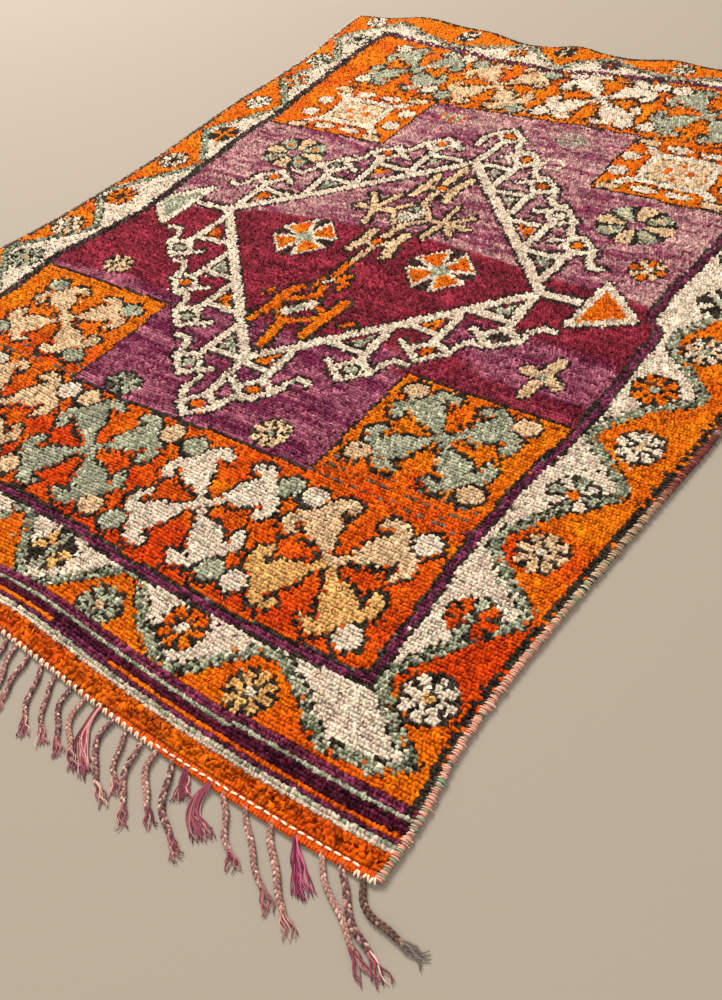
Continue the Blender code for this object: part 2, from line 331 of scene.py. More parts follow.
def ground_cloth():
    """A thin closed sheet: top and underside follow the ripples, and walls join them round the rim."""
    across, along = np.meshgrid(np.linspace(0, 1, CLOTH_STEPS[0]), np.linspace(0, 1, CLOTH_STEPS[1]))
    x, y = point_on_rug(across, along, SELVEDGE_WIDTH)
    lift = ripple_lift(x, y[-1:] - y)
    rows, columns = x.shape
    upper = np.stack([x, y, lift + CLOTH_TOP + CLOTH_OVERLAP], axis=-1).reshape(-1, 3)
    lower = np.stack([x, y, lift], axis=-1).reshape(-1, 3)
    index = np.arange(rows * columns).reshape(rows, columns)
    quads = grid_faces(index)
    rim = np.concatenate([index[0, :-1], index[:-1, -1], index[-1, :0:-1], index[:0:-1, 0]])
    following = np.roll(rim, -1)
    below = rows * columns
    walls = np.stack([rim, rim + below, following + below, following], axis=-1)
    faces = [quads, quads[:, ::-1] + below, walls]
    return put_in_scene("ground_cloth", np.concatenate([upper, lower]), faces, CLOTH_WOOL)


cloth = ground_cloth()
paint(cloth, "yarn", np.tile(linear(CLOTH_YARN), (len(cloth.data.polygons), 1)), "FACE")
paint(cloth, "hollow", np.zeros(len(cloth.data.vertices)), "POINT")
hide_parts("rug")

# The pattern that the knots are dyed for. It is a traditional village one: a zigzag border with
# flowers, panels of cross flowers at both ends, four corner squares, and a stepped medallion whose
# branches end in hooks. Each shape is tied round its edge with one knot of charcoal.
COLUMNS, ROWS = 286, 330
PILE_FROM_LEFT, PILE_FROM_RIGHT = 0.010, 0.013  # where the pile begins, in from the near edge
IVORY, ORANGE, TAN, GOLD, SAGE, CHARCOAL, PLUM, FIELD, MAUVE, GRAPE, GREY, MOSS = range(12)
DYES = {
    IVORY: (250, 226, 203), ORANGE: (255, 136, 0), TAN: (242, 205, 164), GOLD: (243, 190, 122),
    SAGE: (187, 187, 161), CHARCOAL: (68, 59, 50), PLUM: (128, 58, 88), FIELD: (150, 48, 71),
    MAUVE: (134, 60, 88), GRAPE: (100, 34, 58), GREY: (118, 108, 96), MOSS: (132, 138, 114),
}
DEEP_ORANGE, BURGUNDY = (228, 80, 0), (157, 53, 71)
# How much the shade of one knot differs from the next, in the order of the dyes.
SPREAD = (0.08, 0.17, 0.11, 0.11, 0.20, 0.35, 0.42, 0.15, 0.42, 0.42, 0.25, 0.24)

chance = np.random.default_rng(31)
row_of, column_of = np.mgrid[0:ROWS, 0:COLUMNS]


def pile_start(x):
    """How far in from the near edge the pile begins: less at the left, where it hides the hem."""
    return PILE_FROM_LEFT + (PILE_FROM_RIGHT - PILE_FROM_LEFT) * ease((x - 0.20) / 0.40)


def knot_place(across, along):
    """Places of fractions of the knotted part, which starts a little way in from the near edge."""
    x, _ = point_on_rug(across, along, SELVEDGE_WIDTH)
    near = smooth_line(END_EDGES, 1, x)
    far = smooth_line(END_EDGES, 2, x)
    start = pile_start(x)
    return x, near + start + along * (far - near - start)


knot_x, knot_y = knot_place((column_of + 0.5) / COLUMNS, (row_of + 0.5) / ROWS)
yarn = np.full((ROWS, COLUMNS), ORANGE)


def dye(mask, colour):
    """Ties the masked knots in one colour."""
    yarn[mask] = colour


def all_but(missing):
    """All knots but this share of them, which chance leaves out."""
    return chance.random(yarn.shape) > missing


def beside(mask):
    """The knots next to a masked one in their row or column, and not masked themselves."""
    grown = mask.copy()
    grown[1:] |= mask[:-1]
    grown[:-1] |= mask[1:]
    grown[:, 1:] |= mask[:, :-1]
    grown[:, :-1] |= mask[:, 1:]
    return grown & ~mask


def outlined(mask, colour, missing=0.10):
    """Ties a shape in one colour with a one-knot charcoal outline that is missing here and there."""
    dye(beside(mask) & all_but(missing), CHARCOAL)
    dye(mask, colour)


def near_line(points, half_width, closed=False, place=None):
    """Knots within half a width of a line: least distance to any of its straight parts."""
    x, y = (knot_x, knot_y) if place is None else place
    nearest = np.full(x.shape, 9.0)
    following = points[1:] + points[:1] if closed else points[1:]
    for (x0, y0), (x1, y1) in zip(points, following):
        dx, dy = x1 - x0, y1 - y0
        t = np.clip(((x - x0) * dx + (y - y0) * dy) / (dx * dx + dy * dy), 0, 1)
        nearest = np.minimum(nearest, np.hypot(x - x0 - t * dx, y - y0 - t * dy))
    return nearest < half_width


def inside(points, x, y):
    """True inside a closed line: an odd number of its sides lie to the right of the place."""
    within = np.zeros(x.shape, dtype=bool)
    for (x0, y0), (x1, y1) in zip(points, points[1:] + points[:1]):
        if y0 != y1:
            crosses = (y > min(y0, y1)) & (y <= max(y0, y1))
            within ^= crosses & (x < x0 + (y - y0) * (x1 - x0) / (y1 - y0))
    return within


def box(x0, x1, y0, y1):
    """Knots between two places across and two along."""
    return (knot_x > x0) & (knot_x < x1) & (knot_y > y0) & (knot_y < y1)


RAGGED = 0.0045  # how far some dark knots stand out round a flower


def flower(x, y, reach, petals, heart, squash=1.0, dots=None):
    """Eight petals between dark spokes: r < reach (1.04 - 0.24 off^2), off = 0 on a petal's middle."""
    dx, dy = knot_x - x, (knot_y - y) / squash
    radius = np.hypot(dx, dy)
    turn = (np.arctan2(dy, dx) / (math.pi / 4) + 0.5) % 8
    number, off = turn.astype(int), np.abs(turn % 1 - 0.5) * 2
    dye((radius < reach) | ((radius < reach + RAGGED) & all_but(0.25)), CHARCOAL)
    petal = (radius < reach * (1.04 - 0.24 * off**2)) & (off < 0.70) & (radius > reach * 0.30)
    for which in range(8):
        dye(petal & (number == which), petals[which % len(petals)])
    dye(radius < reach * 0.24, heart)
    if dots is not None:
        middle = (np.abs(radius - reach * 0.66) < 0.007) & (off < 0.30) & (number % 2 == 1)
        dye(middle, dots)


# One petal of the big cross flower: out from the flower's middle and to the side, right round it.
PETAL = [
    (0.000, 0.009), (0.030, 0.009), (0.044, 0.015), (0.060, 0.025), (0.074, 0.030), (0.094, 0.028),
    (0.101, 0.038), (0.080, 0.046), (0.077, 0.061), (0.102, 0.065), (0.119, 0.052), (0.126, 0.026),
    (0.121, -0.004), (0.129, -0.028), (0.121, -0.053), (0.100, -0.063), (0.083, -0.058),
    (0.090, -0.047), (0.103, -0.039), (0.097, -0.029), (0.070, -0.029), (0.055, -0.022),
    (0.042, -0.014), (0.030, -0.008), (0.000, -0.009),
]
BUD = (0.106, 0.099, 0.0225, 0.0215)  # its middle and how far it reaches, across and along


def cross_flower(x, y, near_petals, far_petals, buds, scale_x=1.0, scale_y=1.0):
    """Four clawed petals on the diagonals, each with a bud at its end: one quarter, mirrored twice."""
    u, v = np.abs(knot_x - x) / scale_x, np.abs(knot_y - y) / scale_y
    petal = inside(PETAL, (u + v) * math.sqrt(0.5), (u - v) * math.sqrt(0.5))
    petal &= all_but(0.16) | ~beside(~petal)
    bud = (((u - BUD[0]) / BUD[2]) ** 2 + ((v - BUD[1]) / BUD[3]) ** 2) < 1
    both = petal | bud
    shadow = np.roll(both, -1, axis=0) & all_but(0.25)
    dark = beside(both | shadow) & all_but(0.10)
    dark |= beside(dark) & all_but(np.where(knot_y > 0.60, 0.60, 0.72))
    dye(dark, CHARCOAL)
    dye(petal & (knot_y < y), near_petals)
    dye(petal & (knot_y >= y), far_petals)
    outlined(bud, buds, missing=0.30)


# The frame line inside the border: where it runs across or along.
FRAME_RIGHT = (
    # along, across
    (-0.870, 0.631), (-0.690, 0.625), (-0.620, 0.617), (-0.450, 0.620), (-0.330, 0.633),
    (-0.220, 0.642), (-0.030, 0.640), (0.010, 0.638), (0.035, 0.607), (0.140, 0.605),
    (0.230, 0.615), (0.320, 0.618), (0.600, 0.614), (0.930, 0.606),
)
FRAME_LEFT = (
    # along, across
    (-0.870, -0.628), (-0.400, -0.620), (-0.270, -0.629), (-0.220, -0.617), (-0.130, -0.599),
    (-0.060, -0.581), (0.100, -0.591), (0.200, -0.598), (0.350, -0.612), (0.450, -0.601),
    (0.560, -0.614), (0.710, -0.624), (0.870, -0.633), (0.960, -0.624),
)
FRAME_NEAR = (
    # across, along
    (-0.640, -0.860), (-0.400, -0.852), (-0.060, -0.849), (0.070, -0.855), (0.170, -0.867),
    (0.440, -0.867), (0.520, -0.862), (0.640, -0.853),
)
FRAME_FAR = (
    # across, along
    (-0.640, 0.970), (-0.600, 0.968), (-0.500, 0.951), (-0.380, 0.942), (-0.240, 0.910),
    (-0.150, 0.910), (-0.070, 0.895), (0.060, 0.920), (0.180, 0.928), (0.290, 0.939),
    (0.450, 0.930), (0.640, 0.925),
)


def along_table(table, at):
    """Straight lines between the rows of a table of two columns."""
    return np.interp(at, [row[0] for row in table], [row[1] for row in table])


to_frame = np.minimum.reduce([
    along_table(FRAME_RIGHT, knot_y) - knot_x,
    knot_x - along_table(FRAME_LEFT, knot_y),
    knot_y - along_table(FRAME_NEAR, knot_x),
    along_table(FRAME_FAR, knot_x) - knot_y,
])

# The border's zigzag, right round: ivory lies inside it and orange outside.
ZIGZAG = [
    # near side, from the left corner to the right one
    (-0.745, -0.930), (-0.700, -0.955), (-0.640, -0.962), (-0.590, -0.935), (-0.510, -0.878),
    (-0.470, -0.880), (-0.420, -0.935), (-0.370, -0.970), (-0.330, -0.966), (-0.270, -0.915),
    (-0.215, -0.868), (-0.180, -0.872), (-0.130, -0.930), (-0.095, -0.950), (-0.071, -0.862),
    (-0.040, -0.866), (0.010, -0.930), (0.045, -0.968), (0.085, -0.972), (0.130, -0.930),
    (0.190, -0.876), (0.225, -0.876), (0.290, -0.940), (0.355, -0.978), (0.395, -0.972),
    (0.440, -0.920), (0.475, -0.882), (0.510, -0.884), (0.576, -0.920), (0.606, -0.947),
    (0.635, -0.963), (0.720, -0.954), (0.752, -0.928),
    # right side, going away
    (0.698, -0.892), (0.650, -0.850), (0.651, -0.819), (0.700, -0.740), (0.756, -0.672),
    (0.752, -0.650), (0.690, -0.600), (0.650, -0.570), (0.649, -0.534), (0.700, -0.455),
    (0.762, -0.392), (0.760, -0.372), (0.700, -0.320), (0.660, -0.290), (0.663, -0.258),
    (0.710, -0.190), (0.774, -0.140), (0.772, -0.118), (0.715, -0.060), (0.674, -0.025),
    (0.670, 0.012), (0.700, 0.075), (0.752, 0.130), (0.750, 0.155), (0.690, 0.215),
    (0.652, 0.255), (0.652, 0.290), (0.700, 0.355), (0.752, 0.412), (0.750, 0.435),
    (0.690, 0.500), (0.652, 0.540), (0.652, 0.572), (0.700, 0.640), (0.752, 0.695),
    (0.750, 0.720), (0.690, 0.780), (0.652, 0.820), (0.652, 0.850), (0.700, 0.900),
    (0.745, 0.950),
    # far side, back to the left
    (0.690, 0.985), (0.620, 0.990), (0.550, 0.950), (0.480, 0.972), (0.410, 1.002),
    (0.330, 0.975), (0.240, 0.948), (0.130, 0.965), (0.060, 1.005), (-0.020, 0.965),
    (-0.060, 0.915), (-0.130, 0.966), (-0.190, 1.015), (-0.300, 0.972), (-0.386, 0.958),
    (-0.500, 0.990), (-0.620, 1.040), (-0.700, 0.970),
    # left side, coming back
    (-0.745, 0.895), (-0.655, 0.780), (-0.722, 0.620), (-0.615, 0.500), (-0.618, 0.480),
    (-0.722, 0.315), (-0.612, 0.175), (-0.614, 0.150), (-0.750, -0.035), (-0.640, -0.150),
    (-0.642, -0.172), (-0.758, -0.295), (-0.755, -0.320), (-0.650, -0.440), (-0.650, -0.480),
    (-0.757, -0.610), (-0.755, -0.640), (-0.655, -0.760), (-0.655, -0.830),
]

ZIGZAG_DARK, ZIGZAG_SAGE = 0.0120, 0.0088  # half widths of its charcoal and its sage

# The border's flowers: place, reach, petals, heart.
BORDER_FLOWERS = (
    (-0.480, -0.955, 0.030, (SAGE,), TAN), (-0.345, -0.915, 0.036, (ORANGE,), SAGE),
    (-0.205, -0.945, 0.034, (TAN, IVORY), SAGE), (-0.640, -0.905, 0.036, (ORANGE,), IVORY),
    (0.055, -0.906, 0.038, (GOLD, CHARCOAL, SAGE, GOLD), SAGE),
    (0.207, -0.948, 0.036, (SAGE,), TAN), (0.347, -0.914, 0.037, (ORANGE,), IVORY),
    (0.505, -0.950, 0.036, (GOLD,), IVORY), (0.717, -0.838, 0.039, (IVORY,), GOLD),
    (0.693, -0.697, 0.037, (ORANGE, ORANGE, SAGE, ORANGE), SAGE),
    (0.716, -0.544, 0.037, (TAN,), IVORY), (0.699, -0.418, 0.038, (SAGE, IVORY), ORANGE),
    (0.739, -0.278, 0.037, (IVORY,), TAN), (0.700, -0.141, 0.037, (ORANGE,), SAGE),
    (0.729, -0.010, 0.036, (TAN, IVORY), SAGE), (0.694, 0.130, 0.036, (CHARCOAL, IVORY), SAGE),
    (0.716, 0.272, 0.036, (IVORY,), TAN), (0.694, 0.420, 0.036, (ORANGE,), SAGE),
    (0.716, 0.556, 0.036, (TAN,), IVORY), (0.694, 0.706, 0.036, (SAGE, TAN), ORANGE),
    (0.716, 0.838, 0.036, (IVORY,), GOLD), (0.680, 0.945, 0.032, (ORANGE,), IVORY),
    (-0.690, -0.321, 0.038, (SAGE,), TAN), (-0.709, -0.180, 0.036, (IVORY, TAN), SAGE),
    (-0.685, -0.030, 0.036, (ORANGE,), CHARCOAL), (-0.690, 0.156, 0.036, (IVORY, TAN), CHARCOAL),
    (-0.660, 0.313, 0.035, (ORANGE, CHARCOAL), ORANGE), (-0.696, 0.489, 0.034, (IVORY,), SAGE),
    (-0.677, 0.625, 0.034, (ORANGE, SAGE), TAN), (-0.705, 0.762, 0.033, (SAGE, IVORY), SAGE),
    (-0.676, 0.905, 0.032, (IVORY, SAGE), CHARCOAL), (-0.700, 1.030, 0.030, (IVORY,), SAGE),
    (-0.709, -0.470, 0.036, (TAN,), IVORY), (-0.690, -0.625, 0.036, (ORANGE,), SAGE),
    (-0.715, -0.770, 0.036, (IVORY,), TAN), (-0.386, 1.020, 0.030, (CHARCOAL, IVORY), SAGE),
    (-0.200, 0.962, 0.024, (ORANGE,), SAGE), (-0.080, 1.000, 0.028, (TAN, CHARCOAL), SAGE),
    (0.061, 0.970, 0.024, (GREY, PLUM), ORANGE), (0.238, 0.995, 0.026, (IVORY, SAGE), TAN),
    (0.400, 0.968, 0.024, (ORANGE,), SAGE), (0.550, 0.998, 0.026, (IVORY,), TAN),
)


def border():
    """Orange outside the frame, ivory inside the closed zigzag, and the zigzag tied over both."""
    outer = to_frame < 0
    dye(outer, ORANGE)
    dye(outer & inside(ZIGZAG, knot_x, knot_y), IVORY)
    dye(near_line(ZIGZAG, ZIGZAG_DARK, closed=True) & all_but(0.42), CHARCOAL)
    line = near_line(ZIGZAG, ZIGZAG_SAGE, closed=True) & all_but(0.16)
    dye(line, SAGE)
    dye(line & all_but(0.60), MOSS)
    for place_and_dyes in BORDER_FLOWERS:
        flower(*place_and_dyes)


FRAME_LINE = (-0.0105, 0.0125)  # from and to, in from the frame's outer side
FRAME_PLUM = 0.0062  # half width of its plum
FRAME_INNER = 0.0095  # where the field and the panels begin


def frame_lines():
    """Charcoal, plum and charcoal lines, told by the distance in from the frame's outer side."""
    far_line = (knot_y > 0.86) & (np.abs(knot_x) < 0.59)
    line = (to_frame >= FRAME_LINE[0]) & (to_frame < FRAME_LINE[1])
    dye(line & ~(far_line & all_but(0.62)), CHARCOAL)
    dye(line & far_line & all_but(0.50), PLUM)
    dye(line & ~all_but(0.12), GREY)
    plain = ease((knot_y + 0.35 - 0.5 * knot_x) / 0.15) * (knot_x < 0.5)
    dye((np.abs(to_frame) < FRAME_PLUM) & all_but(0.85 * plain), PLUM)


THIN_LINES = (
    # dye, from and to across, from and to along
    (GREY, 0.30, 0.62, -0.5232, -0.5168), (GREY, 0.30, 0.62, -0.5452, -0.5388),
    (GREY, 0.30, 0.62, -0.5692, -0.5628), (GREY, -0.62, -0.26, -0.5482, -0.5418),
    (GREY, -0.62, -0.26, -0.5732, -0.5668), (CHARCOAL, -0.62, -0.24, 0.648, 0.655),
    (CHARCOAL, 0.29, 0.62, 0.655, 0.662),
)


def panels():
    """The two end panels and the four corner squares, all orange, with the field between them."""
    dye(to_frame >= FRAME_INNER, FIELD)
    near_panel = knot_y < -0.583 + 0.012 * ease((knot_x + 0.2) / 0.4)
    far_panel = knot_y > 0.645 + 0.014 * ease((knot_x + 0.3) / 0.5)
    squares = (
        box(0.308, 0.9, -0.60, -0.290) | box(-0.9, -0.257, -0.60, -0.317)
        | box(-0.9, -0.247, 0.415, 0.68) | box(0.292, 0.9, 0.418, 0.68)
    )
    ground = (near_panel | far_panel | squares) & (to_frame >= FRAME_INNER)
    outlined(ground, ORANGE, missing=0.03)
    thin = all_but(0.45) & (to_frame > 0.02)
    for colour, *sides in THIN_LINES:
        dye(thin & box(*sides), colour)


def cross_flowers():
    """One in each square; the one at the near left stays off the frame beside it."""
    cross_flower(0.459, -0.711, GOLD, TAN, IVORY)
    cross_flower(0.199, -0.712, IVORY, IVORY, SAGE)
    cross_flower(-0.072, -0.705, SAGE, SAGE, TAN)
    cross_flower(-0.337, -0.706, TAN, TAN, IVORY)
    before = yarn.copy()
    cross_flower(-0.600, -0.708, SAGE, SAGE, TAN)
    yarn[to_frame < FRAME_INNER] = before[to_frame < FRAME_INNER]
    cross_flower(0.455, -0.405, SAGE, SAGE, TAN, 1.02, 0.88)
    cross_flower(-0.420, -0.447, TAN, TAN, SAGE, 1.04, 0.82)
    cross_flower(-0.408, 0.800, SAGE, SAGE, IVORY, 0.98, 0.98)
    cross_flower(-0.150, 0.780, TAN, TAN, SAGE, 0.98, 0.96)
    cross_flower(0.122, 0.795, IVORY, IVORY, IVORY)
    cross_flower(0.388, 0.795, SAGE, SAGE, IVORY, 0.98, 0.98)


# One quarter of the flower of the far squares, across and along from its middle.
SQUARE_RING = [(0.000, 0.058), (0.058, 0.056), (0.070, 0.046), (0.071, 0.000)]
SQUARE_ARM = [(0.062, 0.052), (0.086, 0.064), (0.104, 0.084)]
SQUARE_LEAVES = ((0.124, 0.033, 0.022, 0.019), (0.038, 0.090, 0.030, 0.0115))
SQUARE_TIP = [(0.098, 0.098), (0.128, 0.104)]


def square_flower(x, y):
    """A tan heart in an ivory ring with four arms and eight leaves: one quarter, mirrored twice."""
    u, v = np.abs(knot_x - x), np.abs(knot_y - y)
    ring = near_line(SQUARE_RING, 0.0085, place=(u, v)) | near_line(SQUARE_ARM, 0.0105, place=(u, v))
    for middle_u, middle_v, reach_u, reach_v in SQUARE_LEAVES:
        ring |= ((u - middle_u) / reach_u) ** 2 + ((v - middle_v) / reach_v) ** 2 < 1
    outlined(ring, IVORY, missing=0.42)
    dye((u < 0.062) & (v < 0.048) & ~ring, TAN)
    dye(beside(ring) & (u < 0.060) & (v < 0.050) & all_but(0.55), GREY)
    dye((np.abs(u - 0.026) < 0.013) & (v < 0.026) & all_but(0.20), IVORY)
    dye(np.hypot(u - 0.026, v - 0.004) < 0.0085, ORANGE)
    dye(np.hypot(u, v - 0.030) < 0.0075, ORANGE)
    outlined(near_line(SQUARE_TIP, 0.0105, place=(u, v)), TAN, missing=0.2)


def square_flowers():
    """One in each far square, kept off the frame beside it."""
    before = yarn.copy()
    square_flower(-0.402, 0.530)
    square_flower(0.436, 0.534)
    yarn[to_frame < 0.012] = before[to_frame < 0.012]


MEDALLION = [(0.007, -0.381), (0.396, 0.027), (0.011, 0.414), (-0.395, 0.027)]
# Where the branches leave the medallion's line, with the dyes of each one's wedge and box.
BRANCHES = (
    (0.009, -0.384, None, ORANGE), (0.076, -0.305, ORANGE, ORANGE), (0.200, -0.183, SAGE, SAGE),
    (0.292, -0.076, ORANGE, ORANGE), (0.388, 0.014, SAGE, CHARCOAL), (-0.074, -0.300, SAGE, SAGE),
    (-0.180, -0.190, ORANGE, SAGE), (-0.270, -0.100, SAGE, ORANGE), (-0.378, 0.000, ORANGE, SAGE),
    (0.011, 0.412, None, ORANGE), (0.102, 0.326, SAGE, ORANGE), (0.193, 0.236, SAGE, ORANGE),
    (0.286, 0.144, ORANGE, IVORY), (0.371, 0.058, SAGE, ORANGE), (-0.104, 0.322, SAGE, ORANGE),
    (-0.196, 0.238, ORANGE, ORANGE), (-0.277, 0.144, SAGE, SAGE), (-0.384, 0.042, ORANGE, ORANGE),
)
# A branch, out along the rug from its root: line, half width. Across is away from the middle.
BRANCH_LINES = (
    ([(0.000, 0.000), (0.006, 0.122)], 0.0086),
    ([(-0.078, 0.088), (0.003, 0.090)], 0.0068),
    ([(0.006, 0.112), (-0.026, 0.150), (0.004, 0.172), (0.046, 0.134), (0.012, 0.112)], 0.0066),
    ([(0.046, 0.136), (0.050, 0.104), (0.066, 0.082), (0.088, 0.086)], 0.0070),
    ([(-0.026, 0.150), (-0.050, 0.136)], 0.0062),
)
CLAW = [(-0.024, 0.150), (-0.045, 0.118), (-0.042, 0.080)]
TIP_LINES = (BRANCH_LINES[0], *BRANCH_LINES[2:4], (CLAW, 0.0070))  # at the near and far corners
WEDGE = [(-0.013, 0.036), (-0.013, 0.080), (-0.054, 0.080)]
HOLE = (0.008, 0.141)  # the middle of the box at a branch's end
POINTERS = (
    # corners and dye of the triangle at each side corner, and the line that leads to it
    ([(0.494, 0.100), (0.486, -0.042), (0.588, 0.018)], ORANGE, [(0.396, 0.027), (0.492, 0.027)]),
    ([(-0.494, 0.088), (-0.500, -0.078), (-0.590, -0.004)], SAGE, [(-0.395, 0.027), (-0.492, 0.020)]),
)


def branch_place(x, y, points):
    """Points of a branch with its root at x and y: both ways are counted from the rug's middle."""
    out_x, out_y = (1 if x > 0 else -1), (1 if y > 0.03 else -1)
    return [(x + out_x * u, y + out_y * v) for u, v in points]


def medallion():
    """An ivory diamond; each branch ends in a box with a hook, and a tie closes a coloured wedge."""
    lines = near_line(MEDALLION, 0.0102, closed=True)
    for _, _, lead in POINTERS:
        lines |= near_line(lead, 0.0080)
    wedges, holes = [], []
    for x, y, wedge, hole in BRANCHES:
        for points, half_width in TIP_LINES if wedge is None else BRANCH_LINES:
            lines |= near_line(branch_place(x, y, points), half_width)
        if wedge is not None:
            wedges.append((inside(branch_place(x, y, WEDGE), knot_x, knot_y), wedge))
        [(hole_x, hole_y)] = branch_place(x, y, [HOLE])
        holes.append((np.hypot((knot_x - hole_x) / 1.25, knot_y - hole_y) < 0.0105, hole))
    for shape, colour in wedges:
        dye(shape & ~lines, colour)
    dye(beside(beside(lines)) & all_but(0.84 - 0.30 * (knot_y > 0)), CHARCOAL)
    outlined(lines, IVORY, missing=0.08)
    for shape, colour in wedges:
        dye(beside(lines) & shape & all_but(0.6), colour)
    for shape, colour in holes:
        outlined(shape, colour, missing=0.45)
    for points, colour, _ in POINTERS:
        triangle = inside(points, knot_x, knot_y)
        outlined(near_line(points, 0.0075, closed=True) | triangle, IVORY)
        dye(triangle & ~near_line(points, 0.0085, closed=True), colour)


# The upright figure in the medallion: dye, half width, line.
POLE = (
    (ORANGE, 0.0100, [(-0.064, -0.280), (-0.056, -0.223), (-0.058, -0.182), (-0.044, -0.152)]),
    (ORANGE, 0.0105, [(0.008, -0.336), (0.000, -0.286), (-0.006, -0.254)]),
    (ORANGE, 0.0110, [(0.062, -0.276), (0.066, -0.221), (0.073, -0.160)]),
    (ORANGE, 0.0068, [(-0.055, -0.214), (-0.030, -0.238), (0.000, -0.262), (0.062, -0.218)]),
    (ORANGE, 0.0066, [(-0.052, -0.204), (-0.010, -0.176), (0.002, -0.160)]),
    (ORANGE, 0.0070, [(0.062, -0.214), (0.006, -0.170), (0.000, -0.136), (-0.005, -0.108)]),
    (ORANGE, 0.0080, [(-0.005, -0.108), (-0.003, -0.036)]),
    (ORANGE, 0.0066, [(-0.020, -0.138), (-0.017, -0.108)]),
    (ORANGE, 0.0070, [(0.012, -0.104), (0.024, -0.078)]),
    (ORANGE, 0.0066, [(0.028, -0.122), (0.033, -0.102)]),
    (ORANGE, 0.0060, [(-0.096, -0.192), (-0.091, -0.184)]),
    (ORANGE, 0.0056, [(0.110, -0.222), (0.130, -0.208)]),
    (TAN, 0.0070, [(-0.005, -0.026), (0.004, 0.040)]),
    (TAN, 0.0110, [(-0.040, 0.008), (-0.031, 0.049), (-0.032, 0.082)]),
    (TAN, 0.0110, [(0.048, 0.014), (0.036, 0.058), (0.043, 0.092)]),
    (TAN, 0.0070, [(-0.032, 0.044), (0.036, 0.052)]),
    (TAN, 0.0085, [(0.002, 0.062), (0.010, 0.130)]),
    (TAN, 0.0060, [(-0.048, 0.174), (-0.014, 0.132), (0.026, 0.138), (0.056, 0.164), (0.024, 0.197),
                   (-0.024, 0.201), (-0.048, 0.174)]),
    (TAN, 0.0072, [(-0.044, 0.168), (-0.130, 0.158)]),
    (TAN, 0.0072, [(-0.074, 0.104), (-0.086, 0.162), (-0.124, 0.214)]),
    (TAN, 0.0072, [(-0.086, 0.164), (-0.066, 0.230)]),
    (TAN, 0.0072, [(0.056, 0.164), (0.094, 0.168), (0.146, 0.162)]),
    (TAN, 0.0072, [(0.077, 0.104), (0.086, 0.160), (0.082, 0.224)]),
    (TAN, 0.0066, [(0.136, 0.206), (0.096, 0.166), (0.124, 0.128)]),
    (TAN, 0.0072, [(0.022, 0.198), (0.002, 0.222), (0.006, 0.274)]),
    (TAN, 0.0095, [(-0.041, 0.240), (-0.035, 0.291), (-0.034, 0.332)]),
    (TAN, 0.0092, [(0.002, 0.306), (0.008, 0.378)]),
    (TAN, 0.0105, [(0.042, 0.244), (0.035, 0.299), (0.048, 0.336)]),
    (TAN, 0.0070, [(-0.035, 0.280), (0.034, 0.284)]),
)
# What is tied into it afterwards: dye, half width, line.
POLE_DOTS = (
    (IVORY, 0.0125, [(-0.016, -0.230), (0.016, -0.192)]),
    (SAGE, 0.0060, [(-0.012, -0.224), (0.000, -0.210)]),
    (IVORY, 0.0056, [(-0.010, -0.118), (-0.002, -0.104)]),
    (ORANGE, 0.0080, [(-0.003, 0.050), (0.001, 0.053)]),
    (IVORY, 0.0200, [(0.000, 0.156), (0.010, 0.182)]),
    (SAGE, 0.0100, [(-0.006, 0.150), (-0.001, 0.151)]),
    (SAGE, 0.0100, [(-0.002, 0.188), (0.003, 0.189)]),
    (ORANGE, 0.0092, [(0.001, 0.288), (0.005, 0.288)]),
)


def pole():
    """Knots near each of the figure's lines, outlined as one shape, and then its dots."""
    figure = [(near_line(points, half_width), colour) for colour, half_width, points in POLE]
    whole = np.logical_or.reduce([shape for shape, _ in figure])
    dye(beside(beside(whole)) & all_but(0.45), CHARCOAL)
    outlined(whole, TAN, missing=0.05)
    for shape, colour in figure:
        dye(shape, colour)
    for colour, half_width, points in POLE_DOTS:
        outlined(near_line(points, half_width), colour, missing=0.35)


STARS = ((-0.157, 0.004), (0.177, 0.014))
STAR_REACH, STAR_HEART = 0.064, 0.019
SPRIG = (0.520, -0.194)
SPRIG_LEAVES = ((0.010, 0.050), (0.034, -0.010), (-0.034, 0.008), (-0.006, -0.050))
SPECKLES = ((-0.160, 0.590, 0.036, ORANGE), (0.160, 0.585, 0.050, SAGE))  # place, reach, dye
RINGS = ((-0.10, 0.470, 0.030), (0.10, 0.470, 0.034), (0.175, 0.470, 0.024))  # place, reach


